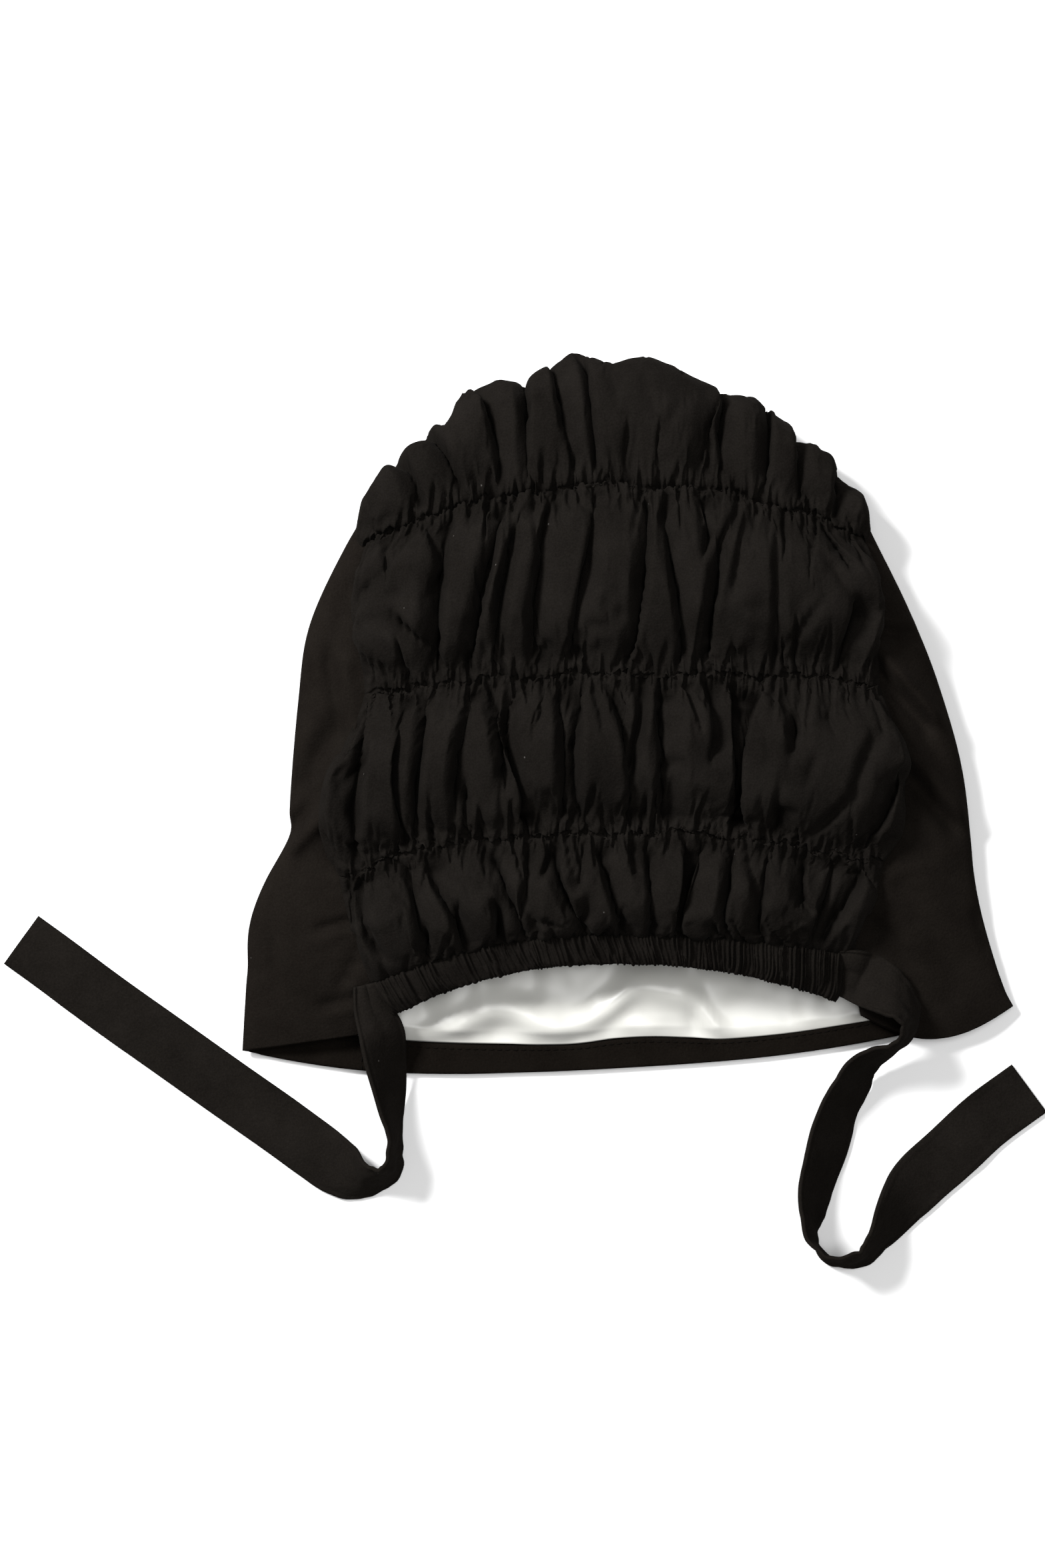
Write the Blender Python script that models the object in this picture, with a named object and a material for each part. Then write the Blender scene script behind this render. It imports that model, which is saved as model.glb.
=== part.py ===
"""Shirred sleep bonnet with a satin lining and two ties, lying on its face side.

The bonnet lies as it was laid down: the plain hood panel is underneath and wraps
round both sides, the gathered back panel is on top, and the open edge points to -Y.
+X is the viewer's right, +Y points to the crown and +Z is up, off the surface.
The origin is on that surface, under the middle of the bonnet.
Sizes are in millimetres, and every piece is made in metres at the end.
"""

import math
from collections import namedtuple

import bmesh
import bpy
import numpy as np
from mathutils import Vector

MM = 0.001

# Cloth thicknesses and the gap that the pieces keep
CLOTH = 1.2
HEM_CLOTH = 1.0
LINING_CLOTH = 1.0
CASING_CLOTH = 2.4
TIE_CLOTH = 1.4
GAP = 0.35

# How far the soft fold at the side turns under before it lies flat
SIDE_TURN = 7.0
# How far the crown's gathers reach under before their seam with the hood panel
CROWN_TURN = 12.0
CROWN_EDGE_HEIGHT = 12.0

# Each section is a line across the bonnet, from the nape up to the first gather row.
# level counts the gather rows: 0 at the elastic casing, 3 at the row under the crown.
Section = namedtuple(
    "Section",
    "level fold_left_x fold_left_y seam_left_x seam_left_y middle_y"
    " seam_right_x seam_right_y fold_right_x fold_right_y"
    " edge_height seam_height middle_height",
)
SECTIONS = (
    Section(-1.0, -143.8, -125.8, -96.8, -119.0, -93.5, 87.0, -112.0, 144.5, -109.0, 3.8, 9.0, 21.0),
    Section(-0.4, -142.8, -108.3, -94.6, -110.0, -88.0, 84.6, -104.0, 141.0, -102.0, 4.0, 13.0, 22.0),
    Section(0.0, -142.0, -97.5, -94.6, -100.0, -81.3, 83.0, -89.5, 137.5, -92.0, 4.4, 15.5, 23.0),
    Section(1.0, -135.0, -62.0, -106.0, -60.0, -43.8, 94.0, -55.0, 129.3, -57.0, 5.5, 18.5, 27.0),
    Section(1.26, -126.0, -45.0, -109.5, -47.5, -29.0, 98.8, -43.0, 128.3, -45.8, 5.6, 18.5, 28.5),
    Section(1.5, -126.0, -35.8, -108.5, -29.5, -14.5, 100.0, -23.3, 126.0, -25.8, 6.2, 19.5, 29.5),
    Section(2.0, -122.8, 4.3, -96.5, 6.8, 14.3, 92.0, 10.5, 116.8, 9.3, 7.0, 21.5, 30.5),
    Section(2.5, -118.5, 33.0, -99.0, 34.3, 48.0, 90.0, 38.0, 105.5, 38.0, 7.6, 21.0, 30.5),
    Section(3.0, -105.0, 62.6, -96.0, 62.5, 83.5, 86.0, 65.0, 92.5, 64.6, 7.4, 17.0, 27.0),
)
# Levels over the crown: the last row, the outline seen from above, the seam underneath
CROWN_LEVEL = 3.0
SILHOUETTE_LEVEL = 4.0
CROWN_SEAM_LEVEL = 5.0
# How the rows bow towards the seams, and how the back arches from seam to seam
ROW_BOW = 2.2
DOME_POWER = 2.5
SEAM_GAP = 0.6

# The casing's edges: levels, and its two ends as shares of the back panel's width
CASING_FOOT_LEVEL = -0.9
CASING_TOP_LEVEL = -0.02
CASING_LEFT_U = (0.07, 0.02)
CASING_RIGHT_U = (0.945, 0.985)

# The lining starts above the hem, hangs a little slack and narrows to the crown
LINING_FOOT_LEVEL = -0.58
LINING_SAG = 0.7
LINING_CROWN_PULL = 0.8
WELD = 0.02

# The front edge bows out between the two corners, underneath and on the right flap
FRONT_BOW = 16.0
FRONT_BOW_POWER = 2.7
RIGHT_FLAP_BOW = 10.5

# The crown's outline is a flattened arch over the first gather row
CROWN_CENTRE_X = -5.6
CROWN_FOOT_Y = 63.6
CROWN_HALF_WIDTH = 95.6
CROWN_RISE = 66.0
CROWN_POWER = 1.68

# A puff's rise off its rows and off the side seams, and how sharp its creases are
BACK_WIDTH = 180.0
SEAM_RISE_REACH = 9.0
SEAM_RISE_POWER = 0.6
ROW_RISE_POWER = 0.55
CROWN_RISE_SHARE = 0.5
CROWN_RISE_POWER = 0.7
CROWN_RIM_PUFF = 0.4
CREASE_SHARPNESS = 1.3

# Gathers: how high each tier puffs, and the creases between its puffs.
# low, middle and high are where a crease runs at the foot, middle and top of its tier.
TIER_PUFF = {0: 8.5, 1: 10.5, 2: 10.5, 3: 9.0}
Crease = namedtuple("Crease", "tier low middle high depth width")
CREASES = (
    Crease(0, -89.3, -95.0, -97.0, 0.8, 3.0),
    Crease(0, -75.0, -77.0, -84.5, 0.8, 3.0),
    Crease(0, -62.0, -64.3, -73.0, 1.0, 3.4),
    Crease(0, -37.5, -40.8, -48.8, 0.9, 3.2),
    Crease(0, -15.0, -20.5, -25.0, 1.0, 3.8),
    Crease(0, -3.8, -7.0, -10.8, 0.7, 2.8),
    Crease(0, 8.0, 7.0, 6.3, 0.8, 3.0),
    Crease(0, 19.5, 19.0, 21.3, 1.0, 3.4),
    Crease(0, 36.3, 36.8, 38.0, 0.8, 3.0),
    Crease(0, 47.5, 51.0, 51.3, 1.0, 3.4),
    Crease(0, 65.8, 67.0, 74.5, 0.8, 3.0),
    Crease(0, 74.5, 79.0, 86.5, 0.7, 3.0),
    Crease(1, -98.8, -96.3, -93.0, 0.8, 3.0),
    Crease(1, -82.0, -85.5, -82.0, 0.6, 3.0),
    Crease(1, -75.0, -74.5, -73.8, 1.0, 3.2),
    Crease(1, -63.3, -64.0, -57.0, 0.8, 3.2),
    Crease(1, -48.0, -46.0, -49.5, 1.0, 3.4),
    Crease(1, -38.8, -37.5, -38.8, 0.6, 2.8),
    Crease(1, -25.8, -24.5, -27.5, 0.7, 2.8),
    Crease(1, -13.5, -18.5, -16.0, 0.9, 3.2),
    Crease(1, 1.3, -1.0, -9.3, 0.9, 3.2),
    Crease(1, 14.5, 10.8, 7.0, 0.8, 3.0),
    Crease(1, 42.0, 40.0, 38.0, 1.2, 5.0),
    Crease(1, 58.8, 60.0, 55.0, 0.5, 3.0),
    Crease(1, 69.8, 80.0, 89.0, 0.9, 3.4),
    Crease(2, -69.3, -68.3, -62.5, 0.9, 3.2),
    Crease(2, -51.3, -50.5, -44.0, 1.0, 3.6),
    Crease(2, -37.5, -35.0, -27.0, 0.7, 3.0),
    Crease(2, -23.0, -19.0, -14.5, 1.0, 3.2),
    Crease(2, -5.5, 5.5, 6.5, 1.0, 3.4),
    Crease(2, 7.0, 15.0, 15.0, 0.8, 3.0),
    Crease(2, 30.5, 32.0, 36.3, 1.1, 3.8),
    Crease(2, 52.8, 52.8, 52.8, 0.5, 2.8),
    Crease(2, 73.8, 78.0, 68.0, 0.6, 3.2),
    Crease(3, -77.0, -80.5, -85.8, 0.8, 3.2),
    Crease(3, -59.5, -66.3, -73.3, 0.8, 3.2),
    Crease(3, -45.0, -51.0, -60.8, 0.9, 3.4),
    Crease(3, -34.5, -36.5, -34.5, 0.9, 3.0),
    Crease(3, -18.0, -26.5, -28.0, 0.8, 3.0),
    Crease(3, -0.5, -4.0, -7.3, 0.9, 3.2),
    Crease(3, 34.8, 32.5, 28.0, 1.1, 3.8),
    Crease(3, 50.0, 51.8, 49.0, 0.9, 3.2),
    Crease(3, 62.0, 61.0, 60.0, 0.8, 3.0),
    Crease(3, 75.8, 76.8, 77.0, 0.8, 3.2),
)

# Soft dents of the plain side panels, each along a straight line seen from above
Dent = namedtuple("Dent", "start_x start_y end_x end_y depth width")
DENTS = (
    Dent(-107.0, -24.0, -124.0, -40.0, 3.0, 6.0),
    Dent(-97.0, 0.0, -112.0, -20.0, 2.2, 6.0),
    Dent(94.0, 26.0, 110.0, 22.0, 2.0, 5.0),
    Dent(100.0, -24.0, 117.0, -38.0, 2.4, 6.0),
)

# Grid fineness of the pieces
BACK_COLUMNS = 66
ROWS_PER_TIER = 5
CROWN_ROWS = 5
CROWN_UNDER_ROWS = 2
SIDE_COLUMNS = 5
TURN_COLUMNS = 3
FLOOR_COLUMNS = 10
HOOD_LEVELS = (
    -1.0, -0.825, -0.65, -0.3, 0.0, 0.4, 0.8, 1.0, 1.2, 1.4, 1.6, 1.8, 2.0, 2.2, 2.4, 2.6, 2.8, 2.96
)
HEM_ROWS = 2
HOOD_CROWN_ROWS = 4
LINING_MIDDLE_COLUMNS = 7
LINING_CROWN_ROWS = 4
LINING_LEVELS = (LINING_FOOT_LEVEL, -0.3, 0.0, 0.4, 0.8, 1.0, 1.2, 1.4, 1.6, 1.8, 2.0, 2.4, 2.8, 2.96)
LINING_ROWS = len(LINING_LEVELS) - 1
NAPE_ROWS = LINING_LEVELS.index(0.0)
LINING_COLUMNS = 2 * SIDE_COLUMNS + LINING_MIDDLE_COLUMNS
CASING_COLUMNS = 64
CASING_ROWS = 2
RIB_HEIGHT = 0.8
TIE_COLUMNS = 2
TIE_STATIONS = 36

# Ties: the middle line of the strip from its sewn end to its free end.
# lift is what its lower edge clears, and lean is 0 flat and 90 on edge, right side raised.
# Each strip is pleated narrower where it is sewn in.
TiePoint = namedtuple("TiePoint", "x y lift lean width")
LEFT_TIE = (
    TiePoint(-97.4, -100.4, 16.2, 4, 8.5),
    TiePoint(-95.4, -108.6, 14.4, 14, 12.5),
    TiePoint(-91.4, -118.0, 10.4, 34, 19.0),
    TiePoint(-90.2, -127.0, 6.4, 48, 21.5),
    TiePoint(-89.4, -136.0, 3.2, 56, 22.0),
    TiePoint(-88.6, -147.0, 1.0, 63, 22.0),
    TiePoint(-87.0, -157.0, 0.2, 74, 22.0),
    TiePoint(-86.9, -165.0, 0.0, 78, 22.0),
    TiePoint(-87.6, -171.0, 0.0, 80, 22.0),
    TiePoint(-90.6, -175.4, 0.0, 78, 22.0),
    TiePoint(-95.8, -176.4, 0.0, 66, 22.0),
    TiePoint(-101.8, -174.4, 0.0, 42, 22.0),
    TiePoint(-108.8, -170.0, 0.0, 18, 22.0),
    TiePoint(-117.6, -163.8, 0.0, 4, 22.0),
    TiePoint(-130.0, -154.8, 0.0, 0, 22.0),
    TiePoint(-150.0, -140.8, 0.0, 0, 22.0),
    TiePoint(-172.0, -125.2, 0.0, 0, 22.0),
    TiePoint(-196.0, -108.2, 0.0, 0, 22.0),
    TiePoint(-217.5, -91.8, 0.0, 0, 22.0),
    TiePoint(-226.9, -84.4, 0.0, 0, 22.0),
)
RIGHT_TIE = (
    TiePoint(84.5, -98.0, 18.6, 30, 18.0),
    TiePoint(90.5, -99.6, 18.2, 40, 20.0),
    TiePoint(97.0, -103.0, 16.4, 48, 21.0),
    TiePoint(102.6, -108.2, 14.2, 58, 22.0),
    TiePoint(105.2, -114.4, 11.6, 68, 22.0),
    TiePoint(103.6, -120.2, 8.6, 75, 22.0),
    TiePoint(98.4, -124.4, 5.6, 74, 22.0),
    TiePoint(92.0, -127.6, 3.6, 66, 22.0),
    TiePoint(87.2, -131.6, 1.8, 56, 22.0),
    TiePoint(84.4, -137.0, 0.8, 52, 22.0),
    TiePoint(82.2, -143.0, 0.0, 52, 22.0),
    TiePoint(77.4, -157.0, 0.0, 52, 22.0),
    TiePoint(73.4, -171.6, 0.0, 60, 22.0),
    TiePoint(70.6, -184.5, 0.0, 72, 22.0),
    TiePoint(70.0, -193.2, 0.0, 83, 22.0),
    TiePoint(72.2, -198.2, 0.0, 90, 22.0),
    TiePoint(76.4, -201.8, 0.0, 100, 22.0),
    TiePoint(81.6, -203.2, 0.0, 106, 22.0),
    TiePoint(87.4, -202.2, 0.0, 110, 22.0),
    TiePoint(94.4, -196.4, 0.0, 120, 22.0),
    TiePoint(101.0, -186.8, 0.0, 142, 22.0),
    TiePoint(108.4, -177.4, 0.0, 168, 22.0),
    TiePoint(121.6, -165.4, 0.0, 180, 22.0),
    TiePoint(134.6, -153.4, 0.0, 180, 22.0),
    TiePoint(150.9, -140.0, 0.0, 180, 22.0),
)

BLACK = (0.011, 0.010, 0.009, 1.0)
WHITE = (0.82, 0.82, 0.79, 1.0)
CLOTH_ROUGHNESS = 0.85
SATIN_ROUGHNESS = 0.35


# Curves through the tables


def smooth_table(knots, values):
    """A function of the knot that runs smoothly through the rows of values."""
    knots = np.array(knots, float)
    values = np.array(values, float)
    slopes = np.gradient(values, knots, axis=0)

    def at(knot):
        i = int(np.clip(np.searchsorted(knots, knot) - 1, 0, len(knots) - 2))
        span = knots[i + 1] - knots[i]
        t = min(max((knot - knots[i]) / span, 0.0), 1.0)
        start = (1 + 2 * t) * (1 - t) ** 2 * values[i]
        leave = t * (1 - t) ** 2 * span * slopes[i]
        end = t * t * (3 - 2 * t) * values[i + 1]
        arrive = t * t * (t - 1) * span * slopes[i + 1]
        return start + leave + end + arrive

    return at


section_values = smooth_table(
    [section.level for section in SECTIONS], [tuple(section) for section in SECTIONS]
)


def section_at(level):
    return Section(*section_values(level))


def mix(a, b, share):
    return a + (b - a) * share


# The smooth base that the gathers rise from


def base_point(u, level):
    """A point of the back panel's base below the crown. u runs from 0 at the left seam to 1."""
    section = section_at(level)
    s = 2 * u - 1
    end_y = section.seam_left_y if s < 0 else section.seam_right_y
    rise = 1 - abs(s) ** DOME_POWER
    return np.array(
        (
            mix(section.seam_left_x, section.seam_right_x, u),
            mix(section.middle_y, end_y, abs(s) ** ROW_BOW),
            mix(section.seam_height, section.middle_height, rise),
        )
    )


def silhouette_point(u):
    """The crown's outline seen from above, at half its height."""
    s = 2 * u - 1
    rise = (1 - abs(s) ** CROWN_POWER) ** (1 / CROWN_POWER)
    return np.array(
        (
            CROWN_CENTRE_X + CROWN_HALF_WIDTH * s,
            CROWN_FOOT_Y + CROWN_RISE * rise,
            CROWN_EDGE_HEIGHT / 2,
        )
    )


def crown_point(u, level):
    """(point, outward direction) of the base over the crown and round under it."""
    row = base_point(u, CROWN_LEVEL)
    edge = silhouette_point(u)
    outward = edge - row
    outward[2] = 0
    outward /= np.linalg.norm(outward)
    up = np.array((0.0, 0.0, 1.0))
    if level <= SILHOUETTE_LEVEL:
        turn = (level - CROWN_LEVEL) * math.pi / 2
        point = mix(row, edge, math.sin(turn))
        point[2] = mix(edge[2], row[2], math.cos(turn))
        return point, outward * math.sin(turn) + up * math.cos(turn)
    turn = (level - SILHOUETTE_LEVEL) * math.pi / 2
    reach = mix(CROWN_TURN / 3, CROWN_TURN, min(1.0, 8 * min(u, 1 - u)))
    point = edge - outward * reach * (1 - math.cos(turn))
    point[2] = edge[2] * (1 - math.sin(turn))
    return point, outward * math.cos(turn) - up * math.sin(turn)


# The gathers


def creases_of(tier):
    return [crease for crease in CREASES if crease.tier == tier]


def crease_x(crease, climb):
    if climb < 0.5:
        return mix(crease.low, crease.middle, climb * 2)
    return mix(crease.middle, crease.high, climb * 2 - 1)


def puff_share(tier, across_x, climb):
    """How much of its full height a puff has, from 0 in a crease to 1 on its back."""
    deepest = 0.0
    for crease in creases_of(tier):
        reach = abs(across_x - crease_x(crease, climb)) / crease.width
        deepest = max(deepest, crease.depth * math.exp(-(reach**CREASE_SHARPNESS)))
    return 1 - min(deepest, 1.0)


def column_shares(level):
    """Where the grid's columns cross this level, u by column. They follow the creases."""
    tier = min(int(level), 3)
    climb = min(level - tier, 1.0)
    section = section_at(min(level, CROWN_LEVEL))
    width = section.seam_right_x - section.seam_left_x
    held_columns, held_shares = [0], [0.0]
    for crease in creases_of(tier):
        column = round((crease.middle - section.seam_left_x) / width * BACK_COLUMNS)
        held_columns.append(max(column, held_columns[-1] + 1))
        held_shares.append((crease_x(crease, climb) - section.seam_left_x) / width)
    held_columns.append(BACK_COLUMNS)
    held_shares.append(1.0)
    even = np.linspace(0, 1, BACK_COLUMNS + 1)
    along_creases = np.interp(np.arange(BACK_COLUMNS + 1), held_columns, held_shares)
    if tier < 3:
        return mix(even, along_creases, math.sin(math.pi * climb) ** 0.7)
    return mix(even, along_creases, math.sin(math.pi / 2 * min(1.0, climb * 2)))


def gather_height(u, level, across_x):
    """How far the cloth stands off its base."""
    seam_distance = min(u, 1 - u) * BACK_WIDTH
    side = min(1.0, seam_distance / SEAM_RISE_REACH) ** SEAM_RISE_POWER
    tier = min(int(level), 3)
    climb = level - tier
    if tier < 3:
        swell = math.sin(math.pi * climb) ** ROW_RISE_POWER
    elif level <= SILHOUETTE_LEVEL:
        rise = min(1.0, climb / CROWN_RISE_SHARE)
        sink = max(0.0, climb - CROWN_RISE_SHARE) / (1 - CROWN_RISE_SHARE)
        swell = math.sin(math.pi / 2 * rise) ** CROWN_RISE_POWER * mix(1, CROWN_RIM_PUFF, sink)
    else:
        climb = 1.0
        swell = CROWN_RIM_PUFF * max(0.0, 1 - (level - SILHOUETTE_LEVEL) / 0.7)
    return TIER_PUFF[tier] * side * swell * puff_share(tier, across_x, climb)


def back_panel_point(u, level):
    if level < CROWN_LEVEL:
        point, outward = base_point(u, level), np.array((0.0, 0.0, 1.0))
    else:
        point, outward = crown_point(u, level)
    point = point + outward * gather_height(u, level, point[0])
    point[2] = max(point[2], 0.0)
    return point


# The plain hood panel, one cross-section from seam to seam round underneath


def dent_depth(x, y):
    total = 0.0
    for dent in DENTS:
        along = np.array((dent.end_x - dent.start_x, dent.end_y - dent.start_y))
        offset = np.array((x - dent.start_x, y - dent.start_y))
        share = np.clip(offset @ along / (along @ along), 0, 1)
        distance = np.linalg.norm(offset - share * along)
        total += dent.depth * math.exp(-((distance / dent.width) ** 2))
    return total


def front_bow(share, level):
    """How far the front edge bows out underneath, fading over the first tier."""
    fade = max(0.0, 1 - ((level + 1) / 2) ** 2)
    return FRONT_BOW * (1 - abs(2 * share - 1) ** FRONT_BOW_POWER) * fade


def floor_point(share, level):
    """A point of the flat underside, share runs from 0 at the left turn to 1."""
    section = section_at(level)
    x = mix(section.fold_left_x + SIDE_TURN, section.fold_right_x - SIDE_TURN, share)
    chord = (x - section.fold_left_x) / (section.fold_right_x - section.fold_left_x)
    y = mix(section.fold_left_y, section.fold_right_y, chord) - front_bow(chord, level)
    return np.array((x, y, 0.0))


def turn_point(side, share, level, inset):
    """The lower half of the side fold, from its widest point at share 0 to the floor."""
    section = section_at(level)
    x = section.fold_left_x if side == "left" else section.fold_right_x
    inward = 1 if side == "left" else -1
    foot = floor_point(0 if side == "left" else 1, level)
    y = section.fold_left_y if side == "left" else section.fold_right_y
    turn = share * math.pi / 2
    height = section.edge_height
    return np.array(
        (
            x + inward * mix(inset, SIDE_TURN, 1 - math.cos(turn)),
            mix(y, foot[1], 1 - math.cos(turn)),
            height - (height - inset) * math.sin(turn),
        )
    )


def side_point(side, share, level, inset):
    """The side panel on top, from the fold's widest point at share 0 up to its seam."""
    section = section_at(level)
    if side == "left":
        edge_x, edge_y = section.fold_left_x + inset, section.fold_left_y
        seam_x, seam_y = section.seam_left_x - SEAM_GAP, section.seam_left_y
        bow = 0.0
    else:
        edge_x, edge_y = section.fold_right_x - inset, section.fold_right_y
        seam_x, seam_y = section.seam_right_x + SEAM_GAP, section.seam_right_y
        bow = RIGHT_FLAP_BOW * max(0.0, 1 - (level + 1) / 1.5)
    turn = share * math.pi / 2
    along = 1 - math.cos(turn)
    x = mix(edge_x, seam_x, along)
    y = mix(edge_y, seam_y, along) - bow * math.sin(math.pi * along)
    climb = section.seam_height - section.edge_height - inset
    z = section.edge_height + climb * math.sin(turn)
    return np.array((x, y, z - dent_depth(x, y) * math.sin(turn) ** 2))


def hood_point(column, level, inset):
    """A point of the hood panel's cross-section, inset inwards from its outer face."""
    turn_start = SIDE_COLUMNS
    floor_start = turn_start + TURN_COLUMNS
    floor_end = floor_start + FLOOR_COLUMNS
    turn_end = floor_end + TURN_COLUMNS
    if column <= turn_start:
        return side_point("left", 1 - column / SIDE_COLUMNS, level, inset)
    if column < floor_start:
        return turn_point("left", (column - turn_start) / TURN_COLUMNS, level, inset)
    if column <= floor_end:
        share = (column - floor_start) / FLOOR_COLUMNS
        return floor_point(share, level) + np.array((0, 0, inset))
    if column < turn_end:
        return turn_point("right", (turn_end - column) / TURN_COLUMNS, level, inset)
    return side_point("right", (column - turn_end) / SIDE_COLUMNS, level, inset)


HOOD_COLUMNS = 2 * SIDE_COLUMNS + 2 * TURN_COLUMNS + FLOOR_COLUMNS
HOOD_ROWS = len(HOOD_LEVELS) - 1


def hood_crown_point(column, climb, inset):
    """The underside above the side folds, up to the crown's seam."""
    share = (column - SIDE_COLUMNS - TURN_COLUMNS) / FLOOR_COLUMNS
    start = floor_point(share, HOOD_LEVELS[-1])
    seam, _ = crown_point(share, CROWN_SEAM_LEVEL)
    inward = base_point(share, CROWN_LEVEL) - seam
    inward[2] = 0
    seam = seam + inward / np.linalg.norm(inward) * SEAM_GAP * 2
    seam[1] = max(seam[1], start[1] + 0.4)
    point = mix(start, seam, climb)
    point[2] = inset
    return point


# Making the pieces


def cloth_material(name, colour, roughness):
    material = bpy.data.materials.new(name)
    material.use_nodes = True
    shader = material.node_tree.nodes["Principled BSDF"]
    shader.inputs["Base Color"].default_value = colour
    shader.inputs["Roughness"].default_value = roughness
    shader.inputs["Metallic"].default_value = 0.0
    return material


def flat_slab(columns, rows, keep=None):
    """A sheet with a front and a back, in grid units: x is the column, y the row and z the layer."""
    slab = bmesh.new()
    bmesh.ops.create_grid(slab, x_segments=columns, y_segments=rows, size=0.5)
    for vert in slab.verts:
        vert.co.x = round((vert.co.x + 0.5) * columns)
        vert.co.y = round((vert.co.y + 0.5) * rows)
    if keep:
        spare = [face for face in slab.faces if not keep(face.calc_center_median())]
        bmesh.ops.delete(slab, geom=spare, context="FACES")
    made = bmesh.ops.extrude_face_region(slab, geom=slab.faces[:], use_keep_orig=True)
    for item in made["geom"]:
        if isinstance(item, bmesh.types.BMVert):
            item.co.z = 1
    return slab


def shape_and_link(name, mesh, place, material):
    """Moves every point of the mesh to its real place and makes the object."""
    for vert in mesh.verts:
        vert.co = [value * MM for value in place(*vert.co)]
    bmesh.ops.recalc_face_normals(mesh, faces=mesh.faces[:])
    if all(edge.is_manifold for edge in mesh.edges) and mesh.calc_volume(signed=True) < 0:
        bmesh.ops.reverse_faces(mesh, faces=mesh.faces[:])
    data = bpy.data.meshes.new(name)
    mesh.to_mesh(data)
    mesh.free()
    data.shade_smooth()
    data.materials.append(material)
    piece = bpy.data.objects.new(name, data)
    piece.parent = bonnet
    bpy.context.scene.collection.objects.link(piece)
    return piece


def make_hood_panel():
    floor_start = SIDE_COLUMNS + TURN_COLUMNS
    floor_end = floor_start + FLOOR_COLUMNS

    def keep(centre):
        return centre.y < HOOD_ROWS or floor_start < centre.x < floor_end

    def place(column, row, layer):
        inset = CLOTH * layer
        if row > HOOD_ROWS:
            climb = (row - HOOD_ROWS) / HOOD_CROWN_ROWS
            return hood_crown_point(column, climb, inset)
        return hood_point(column, HOOD_LEVELS[round(row)], inset)

    slab = flat_slab(HOOD_COLUMNS, HOOD_ROWS + HOOD_CROWN_ROWS, keep)
    shape_and_link("hood_panel", slab, place, black_cloth)


def make_front_hem():
    """The front edge turned in and stitched down inside the hood panel."""

    def place(column, row, layer):
        return hood_point(column, HOOD_LEVELS[round(row)], CLOTH + GAP + HEM_CLOTH * layer)

    shape_and_link("front_hem", flat_slab(HOOD_COLUMNS, HEM_ROWS), place, black_cloth)


def make_back_panel():
    """One cloth, shirred on three rows of elastic thread and gathered into the crown."""
    levels = [tier + i / ROWS_PER_TIER for tier in range(3) for i in range(ROWS_PER_TIER)]
    levels += [CROWN_LEVEL + i / CROWN_ROWS for i in range(CROWN_ROWS)]
    levels += [SILHOUETTE_LEVEL + i / CROWN_UNDER_ROWS for i in range(CROWN_UNDER_ROWS + 1)]
    sheet = bmesh.new()
    bmesh.ops.create_grid(
        sheet, x_segments=BACK_COLUMNS, y_segments=len(levels) - 1, size=0.5
    )

    def place(x, y, _):
        level = levels[round((y + 0.5) * (len(levels) - 1))]
        u = column_shares(level)[round((x + 0.5) * BACK_COLUMNS)]
        return back_panel_point(u, level)

    piece = shape_and_link("back_panel", sheet, place, black_cloth)
    thickness = piece.modifiers.new("cloth", "SOLIDIFY")
    thickness.thickness = CLOTH * MM
    thickness.offset = -1


def make_nape_casing():
    """The tunnel that holds the elastic at the nape, ribbed all along by the pull of it."""

    def place(column, row, layer):
        climb = row / CASING_ROWS
        left = mix(*CASING_LEFT_U, climb)
        right = mix(*CASING_RIGHT_U, climb)
        u = mix(left, right, column / CASING_COLUMNS)
        point = base_point(u, mix(CASING_FOOT_LEVEL, CASING_TOP_LEVEL, climb))
        rib = RIB_HEIGHT * (column % 2)
        point[2] += (CASING_CLOTH + rib) * layer - CLOTH
        return point

    shape_and_link("nape_casing", flat_slab(CASING_COLUMNS, CASING_ROWS), place, black_cloth)


def lining_top(across, level, outer):
    """The lining under the back panel and the side panels, counted from the left fold."""
    if across <= SIDE_COLUMNS:
        return side_point("left", across / SIDE_COLUMNS, level, outer)
    if across >= SIDE_COLUMNS + LINING_MIDDLE_COLUMNS:
        return side_point("right", (LINING_COLUMNS - across) / SIDE_COLUMNS, level, outer)
    u = (across - SIDE_COLUMNS) / LINING_MIDDLE_COLUMNS
    return base_point(u, level) - np.array((0, 0, outer))


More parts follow.
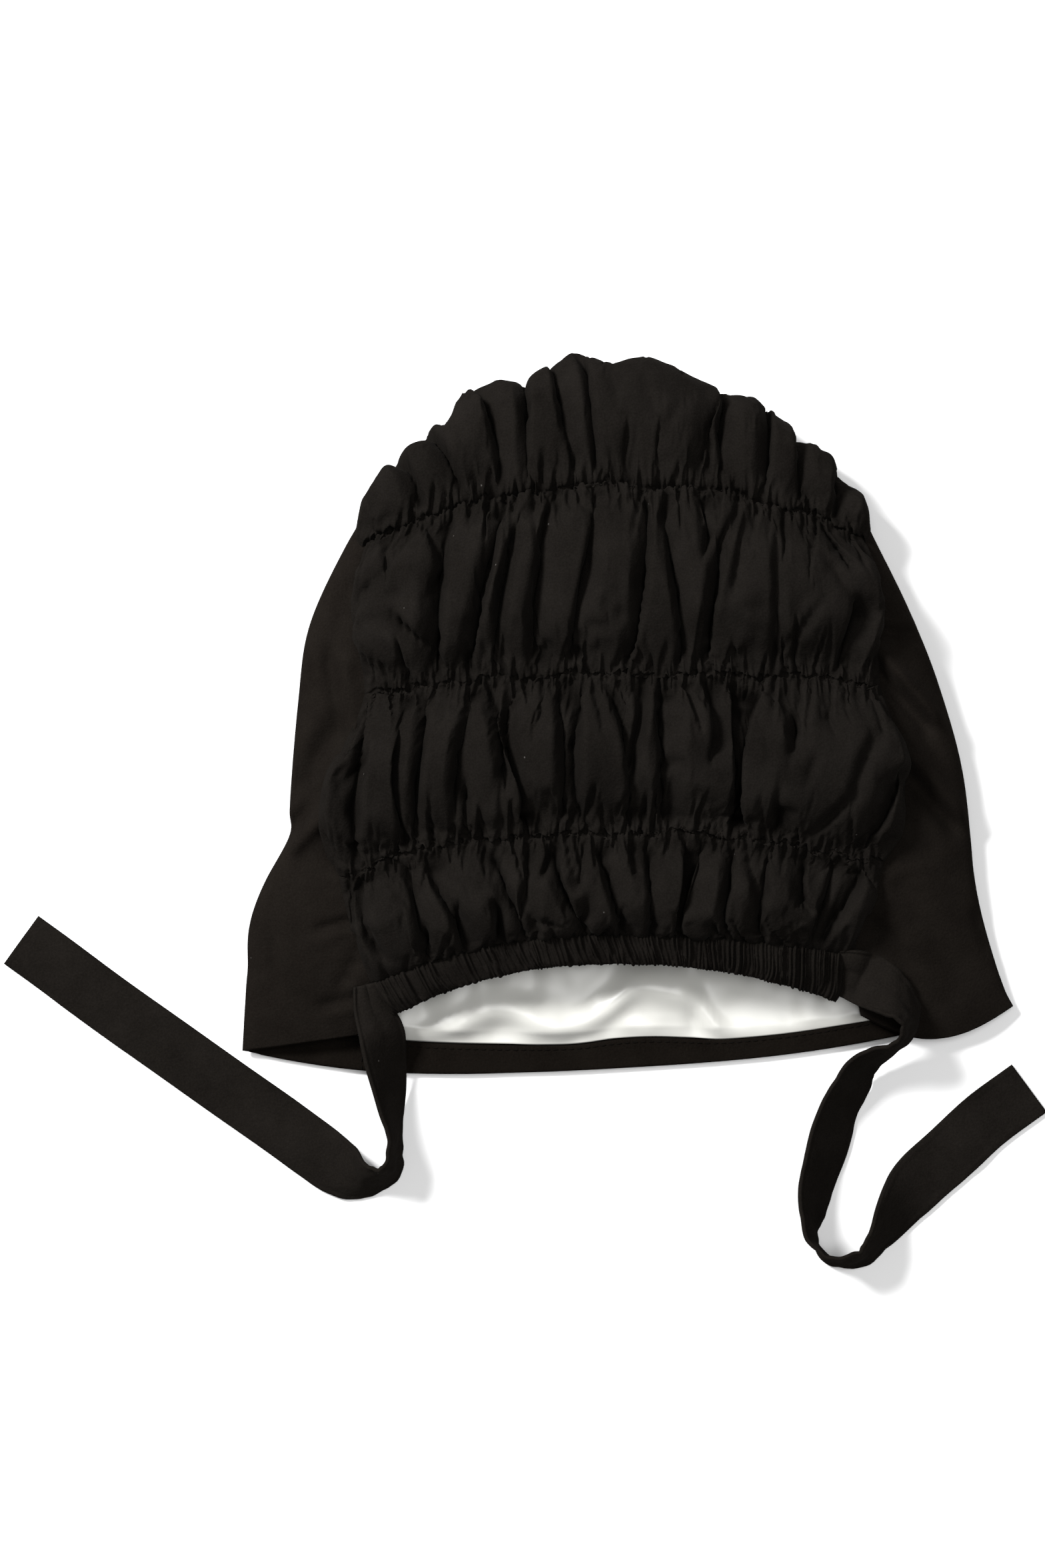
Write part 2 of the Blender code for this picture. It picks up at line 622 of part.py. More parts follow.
def lining_point(column, row, outer):
    """A point of the lining bag: columns run over the floor and back over the top."""
    over = column > LINING_COLUMNS
    across = 2 * LINING_COLUMNS - column if over else column
    level = LINING_LEVELS[min(row, LINING_ROWS)]
    section = section_at(level)
    top = lining_top(across, level, outer)
    pull = LINING_CROWN_PULL * max(0.0, level - 2) ** 2
    top[0] = mix(top[0], min(max(top[0], section.seam_left_x), section.seam_right_x), pull)
    left = lining_top(0, level, outer)
    right = lining_top(LINING_COLUMNS, level, outer)
    left[0] = mix(left[0], section.seam_left_x, pull)
    right[0] = mix(right[0], section.seam_right_x, pull)
    share = (top[0] - section.fold_left_x) / (section.fold_right_x - section.fold_left_x)
    reach = min(1.0, min(top[0] - left[0], right[0] - top[0]) / SIDE_TURN)
    point = top
    if over:
        point[2] -= LINING_SAG * min(1.0, max(0.0, level)) * reach
    else:
        rise = 1 - math.sqrt(1 - (1 - reach) ** 2)
        y = mix(section.fold_left_y, section.fold_right_y, share) - front_bow(share, level)
        point = np.array((top[0], y, mix(outer, left[2], rise)))
    crown = max(0, row - LINING_ROWS) / LINING_CROWN_ROWS
    if crown:
        rim = silhouette_point(share)
        inward = base_point(share, CROWN_LEVEL) - rim
        inward[2] = 0
        rim += inward / np.linalg.norm(inward) * outer * 1.3
        turn = crown * math.pi / 2
        height = mix(rim[2], point[2], math.cos(turn) if over else 1 - crown**5)
        point = mix(point, rim, math.sin(turn) if over else crown)
        point[2] = height
    return point


def make_lining():
    """The satin bag inside, open at the mouth and sewn shut round the crown."""
    rows = LINING_ROWS + LINING_CROWN_ROWS
    columns = 2 * LINING_COLUMNS
    bag = bmesh.new()
    bmesh.ops.create_grid(bag, x_segments=columns, y_segments=rows, size=0.5)
    spare = []
    for face in bag.faces:
        centre = face.calc_center_median()
        from_middle = abs((centre.x + 0.5) * columns - 1.5 * LINING_COLUMNS)
        row = (centre.y + 0.5) * rows
        if from_middle < LINING_MIDDLE_COLUMNS / 2 and row < NAPE_ROWS:
            spare.append(face)
    bmesh.ops.delete(bag, geom=spare, context="FACES")

    def place(x, y, _):
        column, row = round((x + 0.5) * columns), round((y + 0.5) * rows)
        return lining_point(column, row, CLOTH + GAP)

    piece = shape_and_link("lining", bag, place, white_satin)
    seam = piece.modifiers.new("seam", "WELD")
    seam.merge_threshold = WELD * MM
    thickness = piece.modifiers.new("cloth", "SOLIDIFY")
    thickness.thickness = LINING_CLOTH * MM
    thickness.offset = -1


def tie_place(points):
    """A function from the tie's grid to its place in the room."""
    line = np.array([(point.x, point.y) for point in points])
    steps = np.linalg.norm(np.diff(line, axis=0), axis=1)
    distance = np.concatenate(([0], np.cumsum(steps)))
    at = smooth_table(distance, [tuple(point) for point in points])

    def place(column, row, layer):
        reach = distance[-1] * row / TIE_STATIONS
        point = TiePoint(*at(reach))
        ahead = at(min(reach + 1, distance[-1])) - at(max(reach - 1, 0))
        forward = ahead[:2] / np.linalg.norm(ahead[:2])
        side = np.array((forward[1], -forward[0], 0.0))
        up = np.array((0.0, 0.0, 1.0))
        lean = math.radians(point.lean)
        width = side * math.cos(lean) + up * math.sin(lean)
        normal = up * math.cos(lean) - side * math.sin(lean)
        half = point.width / 2
        height = point.lift + half * math.sin(lean) + TIE_CLOTH / 2 * abs(math.cos(lean))
        across = point.width * (column / TIE_COLUMNS - 0.5)
        middle = np.array((point.x, point.y, height))
        place = middle + width * across + normal * TIE_CLOTH * (layer - 0.5)
        place[2] = max(place[2], 0.0)
        return place

    return place


def make_ties():
    for name, points in (("tie_left", LEFT_TIE), ("tie_right", RIGHT_TIE)):
        slab = flat_slab(TIE_COLUMNS, TIE_STATIONS)
        shape_and_link(name, slab, tie_place(points), black_cloth)


def centre_everything():
    """Puts the origin under the middle of all the pieces, ties included."""
    bpy.context.view_layer.update()
    corners = [
        piece.matrix_world @ Vector(corner)
        for piece in bonnet.children
        for corner in piece.bound_box
    ]
    middle = [
        (min(corner[axis] for corner in corners) + max(corner[axis] for corner in corners)) / 2
        for axis in range(2)
    ]
    bonnet.location = (-middle[0], -middle[1], 0)


def clear_scene():
    for thing in list(bpy.data.objects):
        bpy.data.objects.remove(thing)


clear_scene()
black_cloth = cloth_material("black cloth", BLACK, CLOTH_ROUGHNESS)
white_satin = cloth_material("white satin", WHITE, SATIN_ROUGHNESS)
bonnet = bpy.data.objects.new("bonnet", None)
bpy.context.scene.collection.objects.link(bonnet)
make_hood_panel()
make_front_hem()
make_back_panel()
make_nape_casing()
make_lining()
make_ties()
centre_everything()
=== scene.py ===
import math
from collections import namedtuple

import bmesh
import bpy
import numpy as np
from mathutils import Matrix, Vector, noise


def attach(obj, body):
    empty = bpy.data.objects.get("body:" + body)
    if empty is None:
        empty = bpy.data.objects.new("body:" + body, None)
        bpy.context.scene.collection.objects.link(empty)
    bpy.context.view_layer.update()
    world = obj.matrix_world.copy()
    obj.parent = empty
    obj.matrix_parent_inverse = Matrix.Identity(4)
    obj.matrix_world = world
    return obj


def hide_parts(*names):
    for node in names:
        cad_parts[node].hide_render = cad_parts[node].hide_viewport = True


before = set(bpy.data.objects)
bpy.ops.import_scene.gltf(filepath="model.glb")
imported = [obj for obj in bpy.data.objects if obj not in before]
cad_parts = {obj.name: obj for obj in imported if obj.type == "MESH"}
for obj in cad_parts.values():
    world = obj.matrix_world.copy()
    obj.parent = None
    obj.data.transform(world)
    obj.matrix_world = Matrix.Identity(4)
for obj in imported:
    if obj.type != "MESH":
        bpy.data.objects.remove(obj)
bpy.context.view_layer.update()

# The room. A white card to lie on, a wide soft light from the upper left,
# a weaker one above, and the camera straight above.

CAMERA_PLACE = (-0.0011, 0.0110, 1.388)
CAMERA_LENS = 85.0
ROOM_LIGHT = 0.24
CARD_HALF_SIZE = 6.0
CARD_DOWN = 0.0002
CARD_WHITE = (0.9, 0.9, 0.9, 1)

camera = bpy.data.objects.new("camera", bpy.data.cameras.new("camera"))
camera.data.lens = CAMERA_LENS
camera.data.sensor_width = 36.0
camera.location = CAMERA_PLACE
bpy.context.scene.collection.objects.link(camera)
bpy.context.scene.camera = camera
bpy.context.scene.view_settings.view_transform = "Standard"


def soft_light(name, place, power, size):
    lamp = bpy.data.objects.new(name, bpy.data.lights.new(name, "AREA"))
    lamp.data.energy = power
    lamp.data.size = size
    lamp.location = place
    lamp.rotation_euler = Vector(place).to_track_quat("Z", "Y").to_euler()
    bpy.context.scene.collection.objects.link(lamp)


soft_light("light_upper_left", (-1.15, 0.95, 1.35), 84.0, 0.5)
soft_light("light_above", (0.3, 0.2, 2.2), 30.0, 1.2)

world = bpy.data.worlds.new("studio")
world.use_nodes = True
world.node_tree.nodes["Background"].inputs["Color"].default_value = (1, 1, 1, 1)
world.node_tree.nodes["Background"].inputs["Strength"].default_value = ROOM_LIGHT
bpy.context.scene.world = world

card = bmesh.new()
bmesh.ops.create_grid(card, x_segments=1, y_segments=1, size=CARD_HALF_SIZE)
floor = bpy.data.objects.new("white_card", bpy.data.meshes.new("white_card"))
card.to_mesh(floor.data)
card.free()
floor.location.z = -CARD_DOWN
card_paint = bpy.data.materials.new("white card")
card_paint.use_nodes = True
card_shader = card_paint.node_tree.nodes["Principled BSDF"]
card_shader.inputs["Base Color"].default_value = CARD_WHITE
card_shader.inputs["Roughness"].default_value = 0.9
card_shader.inputs["Specular IOR Level"].default_value = 0.1
floor.data.materials.append(card_paint)
bpy.context.scene.collection.objects.link(floor)


# Hood panel. One plain piece of brushed black jersey that frames the face. It lies
# underneath, wraps round both sides and is sewn to the gathered back panel on top.

MM = 0.001
# The bonnet's own middle, from which its pattern is measured, in the frame
MIDDLE_MM = np.array((37.917, 37.025, 0.0))
JERSEY = 1.2
GAP = 0.35
SEAM_GAP = 0.25
SIDE_TURN = 7.0

Section = namedtuple(
    "Section",
    "level fold_left_x fold_left_y seam_left_x seam_left_y middle_y"
    " seam_right_x seam_right_y fold_right_x fold_right_y"
    " edge_height seam_height middle_height",
)
SECTIONS = (
    Section(-1.0, -143.8, -125.8, -96.8, -119.0, -93.5, 87.0, -112.0, 144.5, -109.0, 3.8, 9.0, 21.0),
    Section(-0.4, -142.8, -108.3, -94.6, -110.0, -88.0, 84.6, -104.0, 141.0, -102.0, 4.0, 13.0, 22.0),
    Section(0.0, -142.0, -97.5, -94.6, -100.0, -81.3, 83.0, -89.5, 137.5, -92.0, 4.4, 15.5, 23.0),
    Section(1.0, -135.0, -62.0, -106.0, -60.0, -43.8, 94.0, -55.0, 129.3, -57.0, 5.5, 18.5, 27.0),
    Section(1.26, -126.0, -45.0, -109.5, -47.5, -29.0, 98.8, -43.0, 128.3, -45.8, 5.6, 18.5, 28.5),
    Section(1.5, -126.0, -35.8, -108.5, -29.5, -14.5, 100.0, -23.3, 126.0, -25.8, 6.2, 19.5, 29.5),
    Section(2.0, -122.8, 4.3, -96.5, 6.8, 14.3, 92.0, 10.5, 116.8, 9.3, 7.0, 21.5, 30.5),
    Section(2.5, -118.5, 33.0, -99.0, 34.3, 48.0, 90.0, 38.0, 105.5, 38.0, 7.6, 21.0, 30.5),
    Section(3.0, -105.0, 62.6, -96.0, 62.5, 83.5, 86.0, 65.0, 92.5, 64.6, 7.4, 17.0, 27.0),
    Section(3.2, -100.6, 70.5, -93.0, 70.0, 92.0, 83.5, 71.5, 89.6, 71.0, 6.0, 11.0, 20.0),
)
DOME_POWER = 2.5
ROW_BOW = 2.2
FRONT_BOW = 16.0
FRONT_BOW_POWER = 2.7
FRONT_BOW_LESS = 1.2
RIGHT_FLAP_BOW = 10.5
CROWN_CENTRE_X = -5.6
CROWN_FOOT_Y = 63.6
CROWN_HALF_WIDTH = 95.6
CROWN_RISE = 66.0
CROWN_POWER = 1.68
CROWN_TURN = 12.0
CROWN_EDGE_HEIGHT = 12.0


def mix(a, b, share):
    return a + (b - a) * share


def through_table(table, knot_name, name, at):
    """A column of a table, read smoothly at each of many places."""
    knots = np.array([getattr(row, knot_name) for row in table], float)
    values = np.array([getattr(row, name) for row in table], float)
    slopes = np.gradient(values, knots)
    at = np.clip(np.asarray(at, float), knots[0], knots[-1])
    i = np.clip(np.searchsorted(knots, at, side="right") - 1, 0, len(knots) - 2)
    span = knots[i + 1] - knots[i]
    t = (at - knots[i]) / span
    start = (1 + 2 * t) * (1 - t) ** 2 * values[i]
    leave = t * (1 - t) ** 2 * span * slopes[i]
    end = t * t * (3 - 2 * t) * values[i + 1]
    arrive = t * t * (t - 1) * span * slopes[i + 1]
    return start + leave + end + arrive


def section_at(level):
    return Section(
        *(through_table(SECTIONS, "level", name, level) for name in Section._fields)
    )


def points_of(x, y, z):
    return np.stack(np.broadcast_arrays(x, y, z), axis=-1).astype(float)


def waves(places, size, seed):
    """Soft random waves between -1 and 1, the same on every run."""
    scaled = np.asarray(places) / size + seed * 17.3
    return np.array([noise.noise(Vector(place)) for place in scaled.reshape(-1, 3)]).reshape(
        scaled.shape[:-1]
    )


def base_point(u, level):
    """The back panel's base below the crown, u from 0 at its left seam to 1."""
    section = section_at(level)
    s = 2 * u - 1
    end_y = np.where(s < 0, section.seam_left_y, section.seam_right_y)
    return points_of(
        mix(section.seam_left_x, section.seam_right_x, u),
        mix(section.middle_y, end_y, np.abs(s) ** ROW_BOW),
        mix(section.seam_height, section.middle_height, 1 - np.abs(s) ** DOME_POWER),
    )


# The crown's outline seen from above: the top of each puff and the notch beside it
Outline = namedtuple("Outline", "x y")
CROWN_OUTLINE = (
    Outline(-95.0, 81.0), Outline(-90.0, 91.0), Outline(-84.5, 95.0), Outline(-76.5, 103.5),
    Outline(-72.5, 107.0), Outline(-63.0, 112.0), Outline(-61.0, 117.5), Outline(-50.0, 123.5),
    Outline(-36.5, 125.0), Outline(-32.0, 129.0), Outline(-28.0, 132.5), Outline(-19.0, 135.0),
    Outline(-11.5, 133.0), Outline(-6.5, 130.0), Outline(1.5, 131.5), Outline(11.5, 131.5),
    Outline(21.5, 127.0), Outline(28.0, 123.0), Outline(36.5, 121.5), Outline(40.0, 119.0),
    Outline(50.0, 116.5), Outline(57.5, 109.0), Outline(60.5, 106.0), Outline(68.5, 101.0),
    Outline(78.0, 92.0), Outline(86.0, 85.0),
)
# How far the puffs stand out past the line on which they are gathered
PUFFS_STAND_OUT = 8.0
END_STANDS_OUT = 4.0


def rim_point(u):
    """The arch that the crown is drawn over, at half its height."""
    s = 2 * u - 1
    rise = np.maximum(0, 1 - np.abs(s) ** CROWN_POWER) ** (1 / CROWN_POWER)
    return points_of(
        CROWN_CENTRE_X + CROWN_HALF_WIDTH * s,
        CROWN_FOOT_Y + CROWN_RISE * rise,
        CROWN_EDGE_HEIGHT / 2,
    )


def crown_point(u, level):
    """Places over the crown and round under it, with the outward direction of each."""
    row = base_point(u, np.full_like(u, 3.0))
    edge = rim_point(u)
    outward = edge - row
    outward[..., 2] = 0
    outward /= np.linalg.norm(outward, axis=-1, keepdims=True)
    over = np.clip(level - 3, 0, 1) * math.pi / 2
    under = np.clip(level - 4, 0, 1) * math.pi / 2
    point = mix(row, edge, np.sin(over)[..., None])
    point[..., 2] = mix(edge[..., 2], row[..., 2], np.cos(over)) * (1 - np.sin(under))
    reach = mix(CROWN_TURN / 3, CROWN_TURN, np.minimum(1, 8 * np.minimum(u, 1 - u)))
    point -= outward * (reach * (1 - np.cos(under)))[..., None]
    up = points_of(0, 0, np.cos(over) - np.sin(under))
    return point, outward * (np.sin(over) * np.cos(under))[..., None] + up


def front_bow(share, level):
    fade = np.maximum(0, 1 - (np.maximum(level + 1, 0) / 2) ** 2)
    less = FRONT_BOW_LESS * np.clip((share - 0.15) * 5, 0, 1) * np.clip((1 - share) * 6, 0, 1)
    return (FRONT_BOW * (1 - np.abs(2 * share - 1) ** FRONT_BOW_POWER) - less) * fade


def floor_point(share, level, inset):
    section = section_at(level)
    x = mix(section.fold_left_x + SIDE_TURN, section.fold_right_x - SIDE_TURN, share)
    chord = (x - section.fold_left_x) / (section.fold_right_x - section.fold_left_x)
    y = mix(section.fold_left_y, section.fold_right_y, chord) - front_bow(chord, level)
    return points_of(x, y, inset)


def turn_point(side, share, level, inset):
    """The lower half of a side fold, from its widest line at share 0 to the floor."""
    section = section_at(level)
    left = side == "left"
    x = section.fold_left_x if left else section.fold_right_x
    y = section.fold_left_y if left else section.fold_right_y
    foot = floor_point(np.full_like(level, 0.0 if left else 1.0), level, inset)
    along = 1 - np.cos(share * math.pi / 2)
    return points_of(
        x + (1 if left else -1) * mix(inset, SIDE_TURN, along),
        mix(y, foot[..., 1], along),
        section.edge_height - (section.edge_height - inset) * np.sin(share * math.pi / 2),
    )


def side_point(side, share, level, inset, seam_gap=SEAM_GAP):
    """The side panel on top, from the fold's widest line at share 0 up to its seam."""
    section = section_at(level)
    if side == "left":
        edge_x, edge_y = section.fold_left_x + inset, section.fold_left_y
        seam_x, seam_y = section.seam_left_x - seam_gap, section.seam_left_y
        bow = 0.0
    else:
        edge_x, edge_y = section.fold_right_x - inset, section.fold_right_y
        seam_x, seam_y = section.seam_right_x + seam_gap, section.seam_right_y
        bow = RIGHT_FLAP_BOW * np.maximum(0, 1 - (level + 1) / 1.5)
    along = 1 - np.cos(share * math.pi / 2)
    climb = section.seam_height - section.edge_height - inset
    return points_of(
        mix(edge_x, seam_x, along),
        mix(edge_y, seam_y, along) - bow * np.sin(math.pi * along),
        section.edge_height + climb * np.sin(share * math.pi / 2),
    )


# Soft creases of the two side panels. A crease runs along a straight line seen from
# above: it sinks by depth over its width, and a ridge stands on its raised side.
Fold = namedtuple("Fold", "start_x start_y end_x end_y depth width ridge")
SIDE_FOLDS = (
    Fold(-110.0, 18.0, -106.0, -8.0, 2.4, 3.2, 0.5),
    Fold(-104.0, 44.0, -110.0, 20.0, 1.5, 4.0, 0.3),
    Fold(-112.0, -12.0, -118.0, -25.0, 6.5, 6.0, 0.35),
    Fold(-107.5, -25.0, -127.0, -44.0, 4.2, 3.4, 1.0),
    Fold(-131.5, -70.0, -131.0, -92.0, 1.4, 3.0, 0.3),
    Fold(-101.0, -76.0, -113.0, -79.5, 2.0, 2.2, 0.5),
    Fold(-98.0, -104.0, -112.0, -108.0, 1.5, 2.6, 0.4),
    Fold(-100.0, -90.0, -106.0, -100.0, 1.2, 2.6, 0.4),
    Fold(88.0, 31.0, 106.0, 29.0, 2.8, 2.6, 0.7),
    Fold(90.0, 18.0, 110.0, -4.0, 4.0, 3.2, 0.9),
    Fold(100.0, -19.0, 119.0, -40.0, 4.4, 3.6, 0.9),
    Fold(96.0, 8.0, 113.0, -14.0, 1.2, 3.6, 0.3),
    Fold(131.0, -76.0, 134.5, -86.0, 2.1, 2.4, 0.5),
    Fold(104.0, -66.0, 122.0, -92.0, 1.4, 5.0, 0.3),
    Fold(90.0, -78.0, 104.0, -92.0, 1.2, 4.0, 0.3),
)
# The ridge's line lies this many of the crease's widths away from it
RIDGE_AWAY = 1.7


def side_crease_depth(x, y):
    total = np.zeros_like(x)
    for fold in SIDE_FOLDS:
        run = np.array((fold.end_x - fold.start_x, fold.end_y - fold.start_y))
        length = np.linalg.norm(run)
        run /= length
        along = (x - fold.start_x) * run[0] + (y - fold.start_y) * run[1]
        across = (y - fold.start_y) * run[0] - (x - fold.start_x) * run[1]
        past = np.maximum(0, np.abs(along - length / 2) - length / 2)
        fade = np.exp(-((past / fold.width / 1.5) ** 2))
        sink = np.exp(-((across / fold.width) ** 2))
        raised = fold.ridge * np.exp(-((across / fold.width - RIDGE_AWAY) ** 2))
        total += fold.depth * fade * (sink - raised)
    return total


# The top layer sinks no nearer to the floor than the three layers under it allow
LEAST_HEIGHT = 4.6
HOOD_SIDE_COLUMNS = 44
HOOD_TURN_COLUMNS = 8
HOOD_FLOOR_COLUMNS = 36
HOOD_COLUMNS = 2 * HOOD_SIDE_COLUMNS + 2 * HOOD_TURN_COLUMNS + HOOD_FLOOR_COLUMNS
HOOD_ROWS = 150
HOOD_FOOT_LEVEL = -1.0
HOOD_TOP_LEVEL = 3.2
HOOD_CROWN_ROWS = 16
# Columns over which the creases fade towards a side fold
CREASES_FADE = 14
SEAM_TUCKS = 0.9
HOOD_SWELL = 1.9
HOOD_RIPPLE = 0.7


def hood_point(column, level, inset):
    """The hood panel's cross-section, from seam to seam round underneath."""
    turn_start = HOOD_SIDE_COLUMNS
    floor_start = turn_start + HOOD_TURN_COLUMNS
    floor_end = floor_start + HOOD_FLOOR_COLUMNS
    turn_end = floor_end + HOOD_TURN_COLUMNS
    share = (column - floor_start) / HOOD_FLOOR_COLUMNS
    point = floor_point(np.clip(share, 0, 1), level, inset)
    share = np.clip((column - turn_start) / HOOD_TURN_COLUMNS, 0, 1)
    point = np.where((column < floor_start)[..., None], turn_point("left", share, level, inset), point)
    share = np.clip((turn_end - column) / HOOD_TURN_COLUMNS, 0, 1)
    point = np.where((column > floor_end)[..., None], turn_point("right", share, level, inset), point)
    share = np.clip(1 - column / HOOD_SIDE_COLUMNS, 0, 1)
    point = np.where((column <= turn_start)[..., None], side_point("left", share, level, inset), point)
    share = np.clip((column - turn_end) / HOOD_SIDE_COLUMNS, 0, 1)
    return np.where((column >= turn_end)[..., None], side_point("right", share, level, inset), point)


def grid_piece(name, columns, rows, place, keep=None):
    """A grid of cloth. place takes every point's column and row and gives millimetres."""
    sheet = bmesh.new()
    bmesh.ops.create_grid(sheet, x_segments=columns, y_segments=rows, size=0.5)
    flat = np.array([vert.co for vert in sheet.verts])
    column = np.round((flat[:, 0] + 0.5) * columns)
    row = np.round((flat[:, 1] + 0.5) * rows)
    places = (place(column, row) + MIDDLE_MM) * MM
    for vert, co in zip(sheet.verts, places):
        vert.co = co
    if keep:
        spare = []
        for face in sheet.faces:
            low = min(row[vert.index] for vert in face.verts)
            side = min(column[vert.index] for vert in face.verts)
            if not keep(side + 0.5, low + 0.5):
                spare.append(face)
        bmesh.ops.delete(sheet, geom=spare, context="FACES")
    return finished_mesh(name, sheet)


def finished_mesh(name, made):
    data = bpy.data.meshes.new(name)
    made.to_mesh(data)
    made.free()
    data.shade_smooth()
    piece = bpy.data.objects.new(name, data)
    bpy.context.scene.collection.objects.link(piece)
    return piece


def give_wall(piece, thickness, offset=-1):
    wall = piece.modifiers.new("cloth", "SOLIDIFY")
    wall.thickness = thickness * MM
    wall.offset = offset
    wall.use_rim = True


def face_up(piece, upward=True):
    """Turns an open sheet's faces so that their sum looks up, or down."""
    mesh = bmesh.new()
    mesh.from_mesh(piece.data)
    bmesh.ops.recalc_face_normals(mesh, faces=mesh.faces[:])
    total = sum(face.normal.z * face.calc_area() for face in mesh.faces)
    if (total > 0) != upward:
        bmesh.ops.reverse_faces(mesh, faces=mesh.faces[:])
    mesh.to_mesh(piece.data)
    mesh.free()


def close_up(piece, distance):
    """Joins a rolled sheet's edges where they meet, and turns its faces outward."""
    closing = bmesh.new()
    closing.from_mesh(piece.data)
    bmesh.ops.remove_doubles(closing, verts=closing.verts[:], dist=distance)
    bmesh.ops.recalc_face_normals(closing, faces=closing.faces[:])
    closing.to_mesh(piece.data)
    closing.free()
    piece.data.shade_smooth()


def hood_place(column, row):
    level = mix(HOOD_FOOT_LEVEL, HOOD_TOP_LEVEL, np.minimum(row / HOOD_ROWS, 1))
    point = hood_point(column, level, 0.0)
    from_fold = np.maximum(HOOD_SIDE_COLUMNS - column, column - HOOD_COLUMNS + HOOD_SIDE_COLUMNS)
    on_top = np.clip(from_fold / CREASES_FADE, 0, 1)
    # near the seam the gathers pull small tucks into the plain cloth
    to_seam = np.minimum(column, HOOD_COLUMNS - column) / HOOD_SIDE_COLUMNS
    pull = np.exp(-to_seam * 5) * np.clip((level + 0.6) * 2, 0, 1)
    tucks = waves(point * (0.6, 1.0, 0.0), 4.2, 3) * SEAM_TUCKS * pull
    swell = waves(point, 34.0, 4) * HOOD_SWELL + waves(point, 13.0, 5) * HOOD_RIPPLE
    plain = point[..., 2].copy()
    point[..., 2] += on_top * (tucks + swell - side_crease_depth(point[..., 0], point[..., 1]))
    point[..., 2] = np.maximum(point[..., 2], np.minimum(plain, LEAST_HEIGHT))
    climb = np.maximum(0, row - HOOD_ROWS) / HOOD_CROWN_ROWS
    share = np.clip((column - HOOD_SIDE_COLUMNS - HOOD_TURN_COLUMNS) / HOOD_FLOOR_COLUMNS, 0, 1)
    start = floor_point(share, np.full_like(level, HOOD_TOP_LEVEL), 0.0)
    seam, _ = crown_point(share, np.full_like(share, 5.0))
    inward = base_point(share, np.full_like(share, 3.0)) - seam
    inward[..., 2] = 0
    seam = seam + inward / np.linalg.norm(inward, axis=-1, keepdims=True)
    seam[..., 1] = np.maximum(seam[..., 1], start[..., 1] + 0.4)
    crown = mix(start, seam, climb[..., None])
    crown[..., 2] = 0.0
    return np.where((climb > 0)[..., None], crown, point)


def hood_keep(column, row):
    floor_start = HOOD_SIDE_COLUMNS + HOOD_TURN_COLUMNS
    return row < HOOD_ROWS or floor_start < column < floor_start + HOOD_FLOOR_COLUMNS


def node(tree, kind, **settings):
    made = tree.nodes.new(kind)
    for name, value in settings.items():
        setattr(made, name, value)
    return made


def noise_texture(tree, place, scale, detail):
    made = node(tree, "ShaderNodeTexNoise")
    made.inputs["Scale"].default_value = scale
    made.inputs["Detail"].default_value = detail
    tree.links.new(place.outputs["Object"], made.inputs["Vector"])
    return made


JERSEY_NAP = 0.006
LINT = (0.045, 0.042, 0.039, 1)
LINT_SIZE = 0.022


